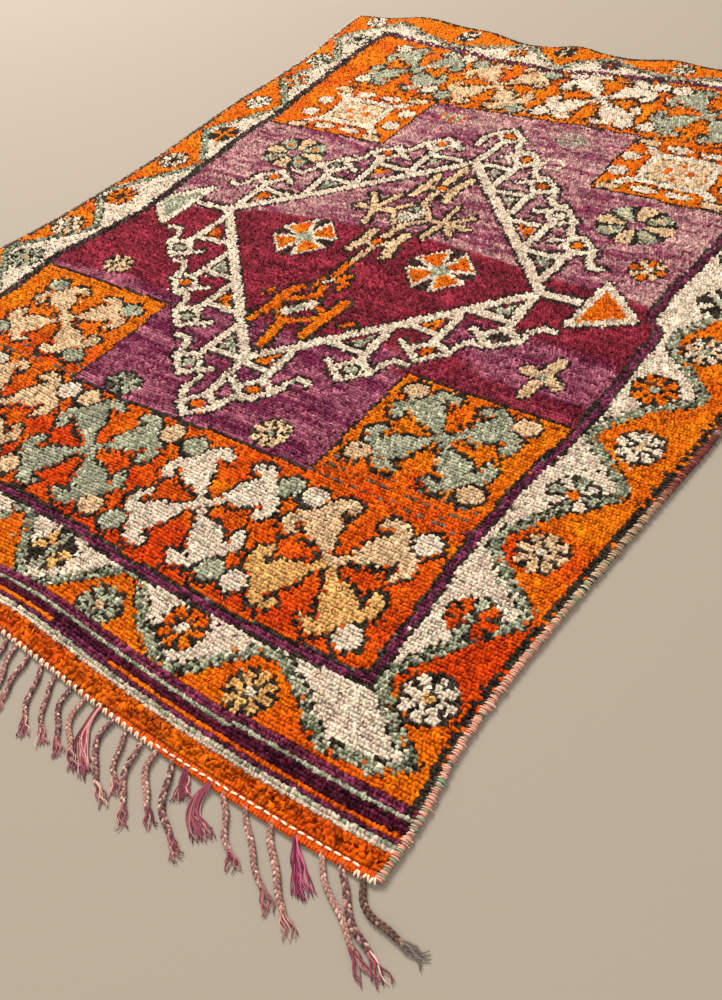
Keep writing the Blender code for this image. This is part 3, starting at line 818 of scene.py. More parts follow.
def field_motifs():
    """Two stars of four wedges, told by the distance to the side of each arm, and small flowers."""
    for x, y in STARS:
        one, other = np.abs(knot_x - x + knot_y - y), np.abs(knot_x - x - knot_y + y)
        far, side = np.maximum(one, other) / 1.414, np.minimum(one, other) / 1.414
        outlined((far < STAR_REACH) & (side < 0.009 + 0.48 * far), IVORY, missing=0.05)
        dye((far < STAR_REACH - 0.007) & (side > 0.016 + 0.48 * far), CHARCOAL)
        wedge = (far < STAR_REACH - 0.005) & (far > STAR_HEART) & (side < 0.50 * far - 0.002)
        dye(wedge, ORANGE)
        dye((far < STAR_HEART) & (side < 0.013), SAGE)
    flower(-0.420, 0.298, 0.078, (TAN, SAGE), FIELD, 0.86, dots=ORANGE)
    flower(0.446, 0.312, 0.078, (TAN, SAGE), FIELD, 0.86, dots=TAN)
    flower(0.536, 0.176, 0.034, (ORANGE, TAN), IVORY)
    flower(-0.468, -0.250, 0.037, (TAN,), TAN, 0.8)
    flower(-0.152, -0.545, 0.036, (SAGE, SAGE, GREY), SAGE, 0.8)
    flower(0.190, -0.526, 0.034, (TAN,), SAGE)
    leaves = np.zeros(yarn.shape, dtype=bool)
    x, y = SPRIG
    for dx, dy in SPRIG_LEAVES:
        leaf = [(x + dx * 0.55, y + dy * 0.42), (x + dx, y + dy)]
        leaves |= near_line(leaf, 0.0118)
    outlined(leaves, TAN)
    dye(near_line([(x - 0.004, y), (x + 0.004, y)], 0.0070), SAGE)
    speckle = all_but(0.45)
    for x, y, reach, colour in SPECKLES:
        near = np.hypot(knot_x - x, (knot_y - y) * 1.4) < reach
        dye(near & speckle, SAGE)
        dye(near & speckle & (np.abs(knot_x - x) % 0.024 < 0.007), colour)
    for x, y, reach in RINGS:
        near = np.abs(np.hypot(knot_x - x, (knot_y - y) * 1.2) - reach) < 0.005
        dye(near & all_but(0.35), IVORY)


# Narrow woven stripes along the near end: how many rows of knots each takes.
NEAR_STRIPES = (
    (4, ORANGE), (1, IVORY), (1, SAGE), (1, PLUM), (1, ORANGE), (3, GRAPE), (1, SAGE), (2, MAUVE),
)
GRAPE_NARROWS_AT = 0.52  # to the left of here the broad stripe is a row of knots narrower
THIN_GAP = (0.17, 0.295)  # where the thin orange stripe was left out
EDGE_DARK, EDGE_RAGGED = 0.010, 0.006  # the charcoal along the sides: its width, and a chance part
FAR_DARK, FAR_RAGGED = 0.008, 0.004  # and along the far end
DARK_FROM = 0.09  # it begins this far from the near end
LOOSE_EVERYWHERE, LOOSE_FAR = 0.03, 0.24  # share of knots tied in a neighbour's colour


def stripes():
    """Whole rows from the near end, and charcoal knots within a ragged reach of the other edges."""
    every = np.concatenate([np.full(rows, colour) for rows, colour in NEAR_STRIPES])
    fewer = np.delete(every, np.flatnonzero(every == GRAPE)[0])
    left_part = knot_x[0] < GRAPE_NARROWS_AT
    yarn[:len(every), ~left_part] = every[:, None]
    yarn[:len(fewer), left_part] = fewer[:, None]
    thin = np.flatnonzero(every == ORANGE)[-1]
    dye((row_of == thin) & (knot_x > THIN_GAP[0]) & (knot_x < THIN_GAP[1]), PLUM)
    dye((row_of == NEAR_STRIPES[0][0] + 1) & all_but(0.62), IVORY)
    from_near = knot_y - smooth_line(END_EDGES, 1, knot_x)
    left, right = side_edges((row_of + 0.5) / ROWS, SELVEDGE_WIDTH)
    ragged = EDGE_DARK + EDGE_RAGGED * chance.random(yarn.shape)
    outer = (right - knot_x < 0.9 * ragged) | (knot_x - left < 0.6 * ragged)
    outer &= all_but(0.16)
    dye(outer & (from_near > DARK_FROM), CHARCOAL)
    from_far = smooth_line(END_EDGES, 2, knot_x) - knot_y
    dye(from_far < FAR_DARK + FAR_RAGGED * chance.random(yarn.shape), CHARCOAL)


def loosen():
    """Toward the far end, where the tying is wilder, more knots have the colour of one near by."""
    far_part = ease((knot_y - 0.56) / 0.12)
    wild = chance.random(yarn.shape) < LOOSE_EVERYWHERE + LOOSE_FAR * far_part
    other_row = np.clip(row_of + chance.integers(-1, 3, size=yarn.shape), 0, ROWS - 1)
    other_column = np.clip(column_of + chance.integers(-2, 3, size=yarn.shape), 0, COLUMNS - 1)
    nearby = yarn[other_row, other_column]
    dye(wild, nearby[wild])


border()
panels()
cross_flowers()
square_flowers()
medallion()
pole()
field_motifs()
frame_lines()
loosen()
stripes()


def mix(one, other, share):
    """One (1 - share) + other share."""
    return one * (1 - share) + other * share


def slow_noise(seed, rows, columns):
    """Smooth chance over the rug: random numbers on a coarse grid, eased between them."""
    coarse = np.random.default_rng(seed).normal(size=(rows + 2, columns + 2))
    r = np.linspace(0, rows, ROWS)[:, None]
    c = np.linspace(0, columns, COLUMNS)[None, :]
    r0, c0 = r.astype(int), c.astype(int)
    fr, fc = ease(r - r0), ease(c - c0)
    near = mix(coarse[r0, c0], coarse[r0, c0 + 1], fc)
    far = mix(coarse[r0 + 1, c0], coarse[r0 + 1, c0 + 1], fc)
    return mix(near, far, fr)


# How the dyes were renewed: the share of deep orange along the rug, and where across the rug the
# field turns pink toward the far end and violet toward the near one.
DEEP_BANDS = (
    # At the near end the deeper orange is partly dye and partly painted shade.
    (-1.08, 0.50), (-1.035, 0.50), (-1.01, 0.30), (-0.98, 0.30), (-0.88, 0.35), (-0.84, 0.95),
    (-0.70, 0.85), (-0.60, 0.45), (-0.52, 0.55), (-0.47, 0.10), (-0.30, 0.15), (-0.10, 0.20),
    (0.30, 0.20), (1.08, 0.15),
)
PINK_FROM = (
    (-0.60, -0.01), (-0.38, 0.022), (-0.06, 0.088), (0.13, 0.095), (0.49, 0.078), (0.62, 0.050),
)
VIOLET_TO = ((-0.6, -0.270), (-0.1, -0.262), (0.1, -0.262), (0.25, -0.215), (0.6, -0.225))
PINKS, VIOLETS = ((156, 74, 104), (218, 174, 168)), ((128, 44, 82), (194, 118, 138))
NEAR_SHADE = ((-1.08, 0.70), (-1.03, 0.86), (-0.99, 1.0))  # painted shade: the first rows at the near end are drawn darker


def knot_colours():
    """Each knot's colour: its dye, changed in bands across the rug where a new batch was begun, and
    darkened by painted shade at the near end.
    """
    shade = np.array([linear(DYES[number]) for number in range(len(DYES))])[yarn]
    deep = along_table(DEEP_BANDS, knot_y) + 0.14 * slow_noise(5, 46, 3)
    deep = np.clip(deep + 0.18 * slow_noise(6, 60, 30), 0, 1)[..., None]
    orange = mix(linear(DYES[ORANGE]), linear(DEEP_ORANGE), deep)
    shade = np.where((yarn == ORANGE)[..., None], orange, shade)
    edge = knot_y + 0.010 * slow_noise(7, 8, 14)
    pink = ease((edge - along_table(PINK_FROM, knot_x)) / 0.012)[..., None]
    violet = ease((along_table(VIOLET_TO, knot_x) - edge) / 0.030)
    patch = ease((slow_noise(9, 40, 6) - 0.35) / 0.5) * ease((knot_x - 0.22) / 0.15)
    violet = np.clip(violet + patch * ease((-0.08 - knot_y) / 0.05) * (knot_y > -0.24), 0, 1)
    violet *= 1 - 0.85 * ease((knot_x - 0.22) / 0.1) * (knot_y < -0.235) * (knot_y > -0.30)
    violet = violet[..., None]
    heather = 0.46 + 0.38 * slow_noise(11, 165, 14) + 0.28 * slow_noise(13, 240, 44)
    heather = np.clip(heather + 0.23 * chance.normal(size=yarn.shape), 0, 1)[..., None]
    field = linear(BURGUNDY) * (0.66 + 0.62 * heather)
    field = mix(field, mix(linear(VIOLETS[0]), linear(VIOLETS[1]), heather), violet)
    field = mix(field, mix(linear(PINKS[0]), linear(PINKS[1]), heather), pink)
    shade = np.where((yarn == FIELD)[..., None], field, shade)
    spread = np.array(SPREAD)[yarn]
    tone = 1 + spread * chance.normal(size=yarn.shape) + 0.5 * spread * slow_noise(12, 90, 60)
    # Painted shade: darker toward the near end.
    tone = np.clip(tone, 0.45, 1.7) * along_table(NEAR_SHADE, knot_y)
    warm = 1 + 0.018 * chance.normal(size=yarn.shape + (3,))
    return np.clip(shade * tone[..., None] * warm, 0.002, 0.95)


# The pile: soft wool tufts about a centimetre long, one to a knot, that all lean one way and
# overlap, with hollows between them darkened by their depth and by painted shade. The outermost ones
# lean out over the bound sides.
PILE_TOP, SIDE_TOP, SIDE_FALL = 0.0130, 0.0095, 0.014
FAR_TOP, FAR_FALL = 0.0100, 0.012
NEAR_TOP, NEAR_FALL = 0.0085, 0.008
LEAST_PILE = 0.0045  # how far over the cloth's top the deepest hollow stays
LUMPS = ((0.0011, 9.1, 2.3, -1.9, 7.4), (0.0008, 23.0, -11.0, 8.0, 19.0))
BANDS = 5  # the pile is made in this many parts along the rug
COARSE = 11  # knots to one step of a part's flat underside
HOLLOW_DEPTHS = (0.0056, 0.0044, 0.0036, 0.0)  # corner, between rows, between columns, tuft
LEAN = (0.0020, -0.0009)  # how far a tuft's top leans across and along
STAGGER = 0.0014  # tufts of one row stand this far to the side of the next row's
OVERHANG = (0.0058, 0.0112, 0.0030)  # how far the outermost tufts reach out: sides, near, far end
OVERHANG_FROM = (0.006, 0.010, 0.006)  # and how far in from there they begin to
UNEVEN = (0.26, 0.0005)  # of a point's depth: a share of it, and a length
WANDER = 0.0010  # of a point, across and along
STILL_EDGE = 0.004  # the points this near the pile's rim neither lean nor wander
CURL_REACH, CURL_FADE = 0.026, 0.004  # the strip at the near end where the tufts curl up
CURL_UNEVEN, CURL_WANDER = 0.0017, 0.0008  # more depth and more wandering there
# Painted shade: the pile's hidden underside and walls are drawn in this dark brown.
HIDDEN_SHADED_YARN = (96, 80, 66)
PILE_WOOL = wool("pile_wool", 1500.0, 0.34, 0.70, 0.0012, 0.02)


def pile_height(x, y, from_side, from_near, from_far):
    """Two crossed waves of each size on the pile's own height, lower at the worn edges."""
    top = np.full_like(x, PILE_TOP)
    for height, across_1, along_1, across_2, along_2 in LUMPS:
        top += height * np.sin(across_1 * x + along_1 * y) * np.sin(across_2 * x + along_2 * y)
    top = SIDE_TOP + (top - SIDE_TOP) * ease(from_side / SIDE_FALL)
    top = FAR_TOP + (top - FAR_TOP) * ease(from_far / FAR_FALL)
    return NEAR_TOP + (top - NEAR_TOP) * ease(from_near / NEAR_FALL)


def pile_points():
    """Two by two faces to a knot: the odd points are tufts, and the even ones lie in hollows."""
    along, across = np.mgrid[0:2 * ROWS + 1, 0:2 * COLUMNS + 1]
    x, y = knot_place(across / (2 * COLUMNS), along / (2 * ROWS))
    plan = x, y
    left, right = x[:, :1], x[:, -1:]
    from_side = np.minimum(x - left, right - x)
    from_near, from_far = y - y[:1], y[-1:] - y
    lift = ripple_lift(x, from_far)
    top = pile_height(x, y, from_side, from_near, from_far)
    kind = 2 * (along % 2) + across % 2
    depth = np.array(HOLLOW_DEPTHS)[kind]
    loose = np.random.default_rng(17)
    depth = depth * (1 + UNEVEN[0] * loose.normal(size=x.shape))
    depth = depth + UNEVEN[1] * loose.normal(size=x.shape)
    curled = ease((CURL_REACH - from_near) / CURL_FADE)
    depth += curled * CURL_UNEVEN * loose.normal(size=x.shape)
    # Painted shade: each point's share of the deepest hollow, which darkens its colour in the wool.
    hollow = np.clip(depth / HOLLOW_DEPTHS[0], 0, 1)
    tuft = (kind == 3) + 0.5 * (kind == 2)
    lean = 1 + 0.5 * loose.normal(size=x.shape)
    wander = WANDER + CURL_WANDER * curled
    stagger = STAGGER * (along % 2) * np.where(along % 4 == 1, 1, -1)
    inner = (from_side > STILL_EDGE) & (from_near > STILL_EDGE) & (from_far > STILL_EDGE)
    side, near, far = (
        ease(1 - distance / begins) * reach * loose.random(x.shape)
        for distance, begins, reach in zip((from_side, from_near, from_far), OVERHANG_FROM, OVERHANG)
    )
    out_x, out_y, out_far = np.sign(x) * side, -near * ease((0.46 - x) / 0.14), far
    x = x + inner * (tuft * lean * LEAN[0] + stagger + wander * loose.normal(size=x.shape)) + out_x
    y = y + inner * (tuft * lean * LEAN[1] + wander * loose.normal(size=x.shape)) + out_y + out_far
    z = np.maximum(top - depth, CLOTH_TOP + LEAST_PILE) + lift
    return x, y, z, lift + CLOTH_TOP, hollow, plan


def fan(fine, coarse):
    """Wall triangles: each fine point joins the coarse one on its half of a step, then the two meet."""
    step = 2 * COARSE
    at = np.arange(len(fine) - 1)
    foot = coarse[at // step + (at % step >= COARSE)]
    joins = np.stack([coarse[:-1], coarse[1:], fine[COARSE::step]], axis=-1)
    return np.concatenate([np.stack([foot, fine[1:], fine[:-1]], axis=-1), joins])


def band_mesh(name, x, y, z, under, hollow, plan_x, plan_y, colours):
    """One closed part: fine top, coarse flat underside, and walls that fan from one to the other."""
    rows, columns = x.shape
    top = np.stack([x, y, z], axis=-1).reshape(-1, 3)
    index = np.arange(rows * columns).reshape(rows, columns)
    step = 2 * COARSE
    low = np.stack([plan_x, plan_y, under], axis=-1)[::step, ::step]
    low_index = rows * columns + np.arange(low.shape[0] * low.shape[1]).reshape(low.shape[:2])
    walls = np.concatenate([
        fan(index[0], low_index[0]), fan(index[:, -1], low_index[:, -1]),
        fan(index[-1, ::-1], low_index[-1, ::-1]), fan(index[::-1, 0], low_index[::-1, 0]),
    ])
    faces = [grid_faces(index), grid_faces(low_index.T), walls]
    piece = put_in_scene(name, np.concatenate([top, low.reshape(-1, 3)]), faces, PILE_WOOL)
    tufts = np.repeat(np.repeat(colours, 2, axis=0), 2, axis=1).reshape(-1, 3)
    hidden_shade = np.tile(linear(HIDDEN_SHADED_YARN), (len(faces[1]) + len(walls), 1))
    paint(piece, "yarn", np.concatenate([tufts, hidden_shade]), "FACE")
    # Painted shade: the underside points take the full hollow value.
    below = np.ones(low_index.size)
    paint(piece, "hollow", np.concatenate([hollow.ravel(), below]), "POINT")
    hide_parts("rug")
    return piece


all_x, all_y, all_z, all_under, all_hollow, all_plan = pile_points()
all_colours = knot_colours()
for number in range(BANDS):
    knots = slice(number * ROWS // BANDS, (number + 1) * ROWS // BANDS)
    points = slice(2 * knots.start, 2 * knots.stop + 1)
    band_mesh(
        f"pile_{number + 1}", all_x[points], all_y[points], all_z[points], all_under[points],
        all_hollow[points], all_plan[0][points], all_plan[1][points], all_colours[knots],
    )

# The hem: the last bare strip of the cloth at the near end, dyed orange by its weft and folded
# under. A thick ivory yarn holds it, in pairs over the edge and, by the right corner, in dashes.
HEM_DEPTH, HEM_TOP = 0.0160, 0.0066
HEM_FROM, HEM_TO = -0.786, 0.800
HEM_RIBS, HEM_CORNERS = 330, 14
RIB_HEIGHT, RIB_UNEVEN = 0.00045, 0.00018
HEM_SQUARENESS = 0.55  # 1 is an oval section, and less is squarer
HEM_YARN, HEM_TONE = (202, 80, 6), 0.34  # its colour, and how much that varies from face to face


def hem():
    """A closed tube: a rounded oblong section carried along the near edge, ribbed by its weft."""
    turn = np.linspace(0, 2 * math.pi, HEM_CORNERS, endpoint=False)
    rings = HEM_RIBS * 2 + 1
    along = np.linspace(HEM_FROM, HEM_TO, rings)
    rib = np.where(np.arange(rings) % 2 == 0, 0.0, RIB_HEIGHT)[:, None]
    rib = rib + RIB_UNEVEN * np.random.default_rng(23).normal(size=(rings, HEM_CORNERS))
    inward = np.sign(np.cos(turn)) * np.abs(np.cos(turn)) ** HEM_SQUARENESS
    upward = np.sign(np.sin(turn)) * np.abs(np.sin(turn)) ** HEM_SQUARENESS
    y = smooth_line(END_EDGES, 1, along)[:, None] + HEM_DEPTH / 2 + inward * (HEM_DEPTH / 2 + rib)
    z = HEM_TOP / 2 + upward * (HEM_TOP / 2 - 0.0004 + rib)
    return np.stack([along[:, None] + 0 * turn, y, np.maximum(z, 0.0)], axis=-1)


def tube_faces(rings, corners):
    """Quads between successive rings, and one face over each end."""
    index = np.arange(rings * corners).reshape(rings, corners)
    ahead = np.roll(index, -1, axis=1)
    quads = np.stack([index[:-1], index[1:], ahead[1:], ahead[:-1]], axis=-1).reshape(-1, 4)
    ends = np.stack([index[0], index[-1][::-1]])
    return [quads, ends]


def face_out(piece):
    """Turns every face of a closed piece outward."""
    shape = bmesh.new()
    shape.from_mesh(piece.data)
    bmesh.ops.recalc_face_normals(shape, faces=shape.faces)
    shape.to_mesh(piece.data)
    shape.free()


HEM_WOOL = wool("hem_wool", 1300.0, 0.35, 0.5, 0.0009, 0.08)
hem_points = hem()
hem_piece = put_in_scene("folded_hem", hem_points, tube_faces(*hem_points.shape[:2]), HEM_WOOL)
face_out(hem_piece)
hem_tone = 1 + HEM_TONE * np.random.default_rng(29).normal(size=(len(hem_piece.data.polygons), 1))
paint(hem_piece, "yarn", np.clip(linear(HEM_YARN) * hem_tone, 0, 1), "FACE")
# Painted shade in the grooves between the ribs.
rib_groove_shade = np.where(np.arange(len(hem_points)) % 2 == 0, 0.75, 0.0)
paint(hem_piece, "hollow", np.repeat(rib_groove_shade, HEM_CORNERS), "POINT")
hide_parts("rug")

STITCH_PITCH, STITCH_LENGTH, STITCH_THICKNESS = 0.0131, 0.0094, 0.0032
PAIRS_END = 0.455  # to the left of here the stitches come over the edge in pairs
LAST_PAIRS = (0.776, 0.788, 0.797)  # and there are a few by the corner
DASH_INSETS = ((0.45, 0.0045), (0.60, 0.0090), (0.80, 0.0105))  # across, in from the edge
STITCH_YARN = (232, 216, 188)


def tubes_along(x, y, z, radius, corners):
    """Round tubes about lines in space: a ring across each line's own direction at each step."""
    line = np.stack([x, y, z], axis=-1)
    ahead = np.gradient(line, axis=1)
    ahead /= np.linalg.norm(ahead, axis=-1, keepdims=True)
    near_upright = np.abs(ahead[..., 2:]) > 0.9
    sideways = np.cross(ahead, np.where(near_upright, [0.0, 1.0, 0.0], [0.0, 0.0, 1.0]))
    sideways /= np.linalg.norm(sideways, axis=-1, keepdims=True)
    upward = np.cross(sideways, ahead)
    turn = np.linspace(0, 2 * math.pi, corners, endpoint=False)
    ring = np.cos(turn)[:, None] * sideways[:, :, None, :]
    ring = ring + np.sin(turn)[:, None] * upward[:, :, None, :]
    points = line[:, :, None, :] + radius[:, :, None, None] * ring
    points[..., 2] = np.maximum(points[..., 2], 0.0003)
    return points


def stitches():
    """Plump strands, narrow at both ends: pairs that open down over the edge, then single dashes."""
    loose = np.random.default_rng(41)
    t = np.linspace(0, 1, 8)[None, :]
    girth = np.sin(np.pi * (0.10 + 0.80 * t)) ** 0.5
    pair = np.append(np.arange(-0.775, PAIRS_END, STITCH_PITCH), LAST_PAIRS)[:, None]
    lines = []
    for side in (-1, 1):
        spot = pair + side * (0.0009 + 0.0022 * t) + 0.0003 * loose.normal(size=pair.shape)
        inset = 0.0046 - 0.0064 * t + 0.0004 * loose.normal(size=pair.shape)
        lines.append((spot, inset, HEM_TOP + 0.0008 - 0.0046 * t**2 + 0 * spot))
    dash = np.arange(PAIRS_END, 0.772, STITCH_PITCH)[:, None]
    spot = dash + STITCH_LENGTH * (t - 0.5)
    slant = 0.0011 * loose.normal(size=dash.shape) * (t - 0.5)
    inset = along_table(DASH_INSETS, spot) + slant
    lines.append((spot, inset, HEM_TOP + 0.0002 + 0.0008 * np.sin(np.pi * t) + 0 * spot))
    x, inset, z = (np.concatenate([line[part] for line in lines]) for part in range(3))
    y = smooth_line(END_EDGES, 1, x) + inset
    return tubes_along(x, y, z, STITCH_THICKNESS / 2 * girth + 0 * x, 8)


def joined_tubes(name, points, material):
    """Many like tubes in one piece: the same faces for each, counted on from tube to tube."""
    tubes, rings, corners = points.shape[:3]
    quads, ends = tube_faces(rings, corners)
    each = (np.arange(tubes) * rings * corners)[:, None, None]
    faces = [(quads[None] + each).reshape(-1, 4), (ends[None] + each).reshape(-1, corners)]
    piece = put_in_scene(name, points, faces, material)
    face_out(piece)
    return piece, (len(quads), len(ends))


def paint_tubes(piece, colours, quads_each, ends_each, hollow):
    """One colour for each ring of faces, in the order that the faces were made in."""
    tubes, parts = colours.shape[:2]
    along = np.repeat(colours, quads_each // parts, axis=1).reshape(-1, 3)
    caps = np.repeat(colours[:, :1], ends_each, axis=1).reshape(-1, 3)
    paint(piece, "yarn", np.concatenate([along, caps]), "FACE")
    paint(piece, "hollow", hollow, "POINT")


STITCH_WOOL = wool("stitch_wool", 1600.0, 0.25, 0.4, 0.0006, 0.10)
stitch_points = stitches()
stitch_piece, made = joined_tubes("hem_stitches", stitch_points, STITCH_WOOL)
stitch_tone = 1 + 0.06 * np.random.default_rng(43).normal(size=(len(stitch_points), 7, 1))
no_hollows = np.zeros(stitch_points.size // 3)
paint_tubes(stitch_piece, linear(STITCH_YARN) * stitch_tone, *made, no_hollows)
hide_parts("rug")

# The overcast sides: yarn sewn round the outer warps of each long side, close stitch by stitch, in
# whatever colour was at hand: salmon with green at the near right, then sand, maroon and grey.
SELVEDGE_SECTION = (
    # in from the outer edge, height
    (0.0014, 0.0000), (0.0000, 0.0016), (0.0001, 0.0038), (0.0016, 0.0062), (0.0042, 0.0073),
    (0.0070, 0.0070), (0.0096, 0.0056), (0.0100, 0.0000),
)
CORE_RINGS = 240
SEWN_LENGTH, RUG_LENGTH = 2.12, 2.13
OVERCAST_PITCH, OVERCAST_SKEW, OVERCAST_RADIUS = 0.0033, 0.0026, 0.00125
RADIUS_LIMITS = (0.0007, 0.0018)
CORE_SHADE = 0.70  # painted shade: the core, seen between the stitches over it, is drawn darker than the same yarns
OVERCAST_PATH = (
    # in from the outer edge, height: over the core, from the pile to the floor
    (0.0104, 0.0062), (0.0076, 0.0078), (0.0044, 0.0080), (0.0014, 0.0066), (0.0000, 0.0036),
    (0.0012, 0.0012),
)
STRAY_REACH = np.array([0, 0, 0.0005, 0.0015, 0.0030, 0.0052])  # of a loose stitch, outward
GREEN_YARN, DARK_YARN, PALE_YARN = (128, 152, 124), (78, 66, 62), (240, 214, 192)
EDGE_WOOL = wool("edge_wool", 1700.0, 0.40, 0.5, 0.0009, 0.10)
SIDE_YARNS = (
    ((-1.10, (172, 118, 100)), (-0.40, (126, 92, 80)), (0.20, (156, 146, 132)), (1.1, (182, 166, 148))),
    ((-1.10, (214, 156, 134)), (-0.66, (212, 156, 132)), (-0.58, (196, 168, 134)),
     (-0.40, (184, 148, 118)), (-0.32, (132, 60, 50)), (0.0, (104, 66, 62)), (1.1, (118, 90, 80))),
)


def side_place(side, along, inset, height):
    """A place by the long side: in from its edge at a fraction along, lifted with the far ripples."""
    left, right = side_edges(along, inset)
    base = side_edges(along, 0.0)[side]
    near, far = smooth_line(END_EDGES, 1, base), smooth_line(END_EDGES, 2, base)
    y = near + along * (far - near)
    return np.stack([right if side else left, y, height + ripple_lift(base, far - y)], axis=-1)


def overcast(side):
    """Each stitch is a yarn bent over the core, a little askew, with its own width and place."""
    count = int(SEWN_LENGTH / OVERCAST_PITCH)
    loose = np.random.default_rng(51 + side)
    path = np.array(OVERCAST_PATH)
    shape = (count, len(path))
    askew = np.linspace(-0.5, 0.5, len(path)) * (OVERCAST_SKEW + 0.0016 * loose.normal(size=(count, 1)))
    along = (np.arange(count)[:, None] + 0.5 + 0.25 * loose.normal(size=(count, 1))) / count
    along = along + askew / RUG_LENGTH
    inset = path[:, 0] + 0.0005 * loose.normal(size=shape)
    strays = (loose.random((count, 1)) > 0.86) * loose.random((count, 1))
    inset = inset - strays * STRAY_REACH
    height = path[:, 1] + 0.0004 * loose.normal(size=shape)
    line = side_place(side, np.clip(along, 0.001, 0.999), inset, np.maximum(height, 0.0010))
    radius = OVERCAST_RADIUS * (1 + 0.22 * loose.normal(size=(count, 1))) * np.ones(shape)
    return tubes_along(line[..., 0], line[..., 1], line[..., 2], np.clip(radius, *RADIUS_LIMITS), 4)


def side_shades(side, y, seed):
    """Colours along a side: eased between the table's, with green, dark and pale ones by chance."""
    table = SIDE_YARNS[side]
    at = [row[0] for row in table]
    shade = np.stack([np.interp(y, at, [row[1][part] for row in table]) for part in range(3)], axis=-1)
    loose = np.random.default_rng(seed)
    pick = loose.random(len(y))[:, None]
    place = y[:, None]
    green = (pick < 0.12 + 0.10 * (place < -0.92)) & (place < -0.45) & (side == 1)
    shade = np.where(green, GREEN_YARN, shade)
    shade = np.where((pick > 0.88) & (place > -0.60), DARK_YARN, shade)
    paler = mix(shade, np.array(PALE_YARN), 0.4)
    shade = np.where((pick > 0.74) & (pick < 0.84), paler, shade)
    tone = np.clip(1 + 0.12 * loose.normal(size=(len(y), 1)), 0.6, 1.4)
    return np.clip(linear(shade) * tone, 0, 1)


for side, name in enumerate(("selvedge_left", "selvedge_right")):
    along = np.linspace(0.0, 1.0, CORE_RINGS)[:, None] + np.zeros((1, len(SELVEDGE_SECTION)))
    section = np.array(SELVEDGE_SECTION)
    out, up = section[:, 0] + np.zeros_like(along), section[:, 1] + np.zeros_like(along)
    core = side_place(side, along, out, up)
    core_piece = put_in_scene(name + "_core", core, tube_faces(*core.shape[:2]), EDGE_WOOL)
    face_out(core_piece)
    shades = side_shades(side, core[:-1, 0, 1], 61) * CORE_SHADE
    faces = np.concatenate([np.repeat(shades, len(section), axis=0), shades[:1], shades[-1:]])
    paint(core_piece, "yarn", faces, "FACE")
    # Painted shade all along the core, on top of its darker colour.
    paint(core_piece, "hollow", np.full(core.size // 3, 0.5), "POINT")
    stitched = overcast(side)
    sewn, made = joined_tubes(name + "_stitches", stitched, EDGE_WOOL)
    shades = side_shades(side, stitched[:, 0, 0, 1], 63 + side)
    shades = np.repeat(shades[:, None], stitched.shape[1] - 1, axis=1)
    paint_tubes(sewn, shades, *made, np.zeros(stitched.size // 3))
    for piece in (core_piece, sewn):
        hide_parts(name)

# The tassels: warps that come out from under the hem in bunches, each plaited in three strands of
# marled grey, purple and pink yarn and left loose at its end. They lie on the floor.
GAP, STRIP_DEPTH = 0.0003, 0.0060
TURNED_AT = 0.70  # the fraction of its length at which a tassel has its last bearing
NEAR_TASSELS = (
    # across, length, root bearing, tip bearing
    (0.128, 0.075, 25, 25), (0.151, 0.090, 28, 30), (0.181, 0.092, 20, 22),
    (0.214, 0.117, 24, 40), (0.246, 0.112, 14, 50), (0.281, 0.108, 12, 50),
    (0.311, 0.115, 8, 54), (0.341, 0.110, 2, 54), (0.371, 0.134, 2, 58),
    (0.400, 0.094, 14, 46), (0.429, 0.122, 14, 42), (0.458, 0.108, 12, 54),
    (0.489, 0.136, 22, 58), (0.515, 0.036, 33, 33), (0.548, 0.080, -14, 64),
    (0.580, 0.096, 40, 52), (0.617, 0.131, 42, 58), (0.656, 0.137, 38, 54),
    (0.694, 0.068, 40, 52), (0.734, 0.150, 47, 60), (0.760, 0.140, 42, 64),
    (0.789, 0.120, 36, 88),
)
LOOSE_TUFTS = (0.341, 0.515, 0.548, 0.694)  # those that were never plaited
ROW_START, ROW_PITCH, ROW_COUNT = -0.772, 0.0336, 27
ROW_LENGTH, ROW_BEARING, ROW_SWAY = (0.068, 0.128), (14, 48), 5.0
PLAIT_STEPS, YARN_CORNERS = 42, 5
PLAIT_TURN = 0.0195  # length of one full turn of the plait
PLAIT_WIDTH, PLAIT_SWAY = 0.0105, 0.0032
PLAIT_MIDDLE, PLAIT_RISE = 0.0042, 0.0015  # the height of its yarns, and how far they swing up
PLAIT_EASE = 0.25  # share of a tassel over which its width and its sway come and go
ROOT_REACH = 0.0105  # how far each tassel goes on under the hem
LINE_STEPS = 90  # small steps that a tassel's line is summed from
FRAY = 0.24  # the loose end's share of a tassel
FRAY_STEPS, FRAY_RADIUS, FRAY_CURL = 12, 0.00150, 0.0036
FRAYS_EACH, TUFT_STRANDS = 8, 26


def tassel_rows():
    """Each tassel's place across, its length and its bearings, from the left corner to the right."""
    spread = np.random.default_rng(7)
    rows = []
    for number in range(ROW_COUNT):
        across = ROW_START + ROW_PITCH * number + spread.uniform(-0.003, 0.003)
        length = spread.uniform(*ROW_LENGTH)
        sway = spread.uniform(-ROW_SWAY, ROW_SWAY)
        rows.append((across, length, ROW_BEARING[0] + sway, ROW_BEARING[1] + sway))
    return np.array(rows + list(NEAR_TASSELS))


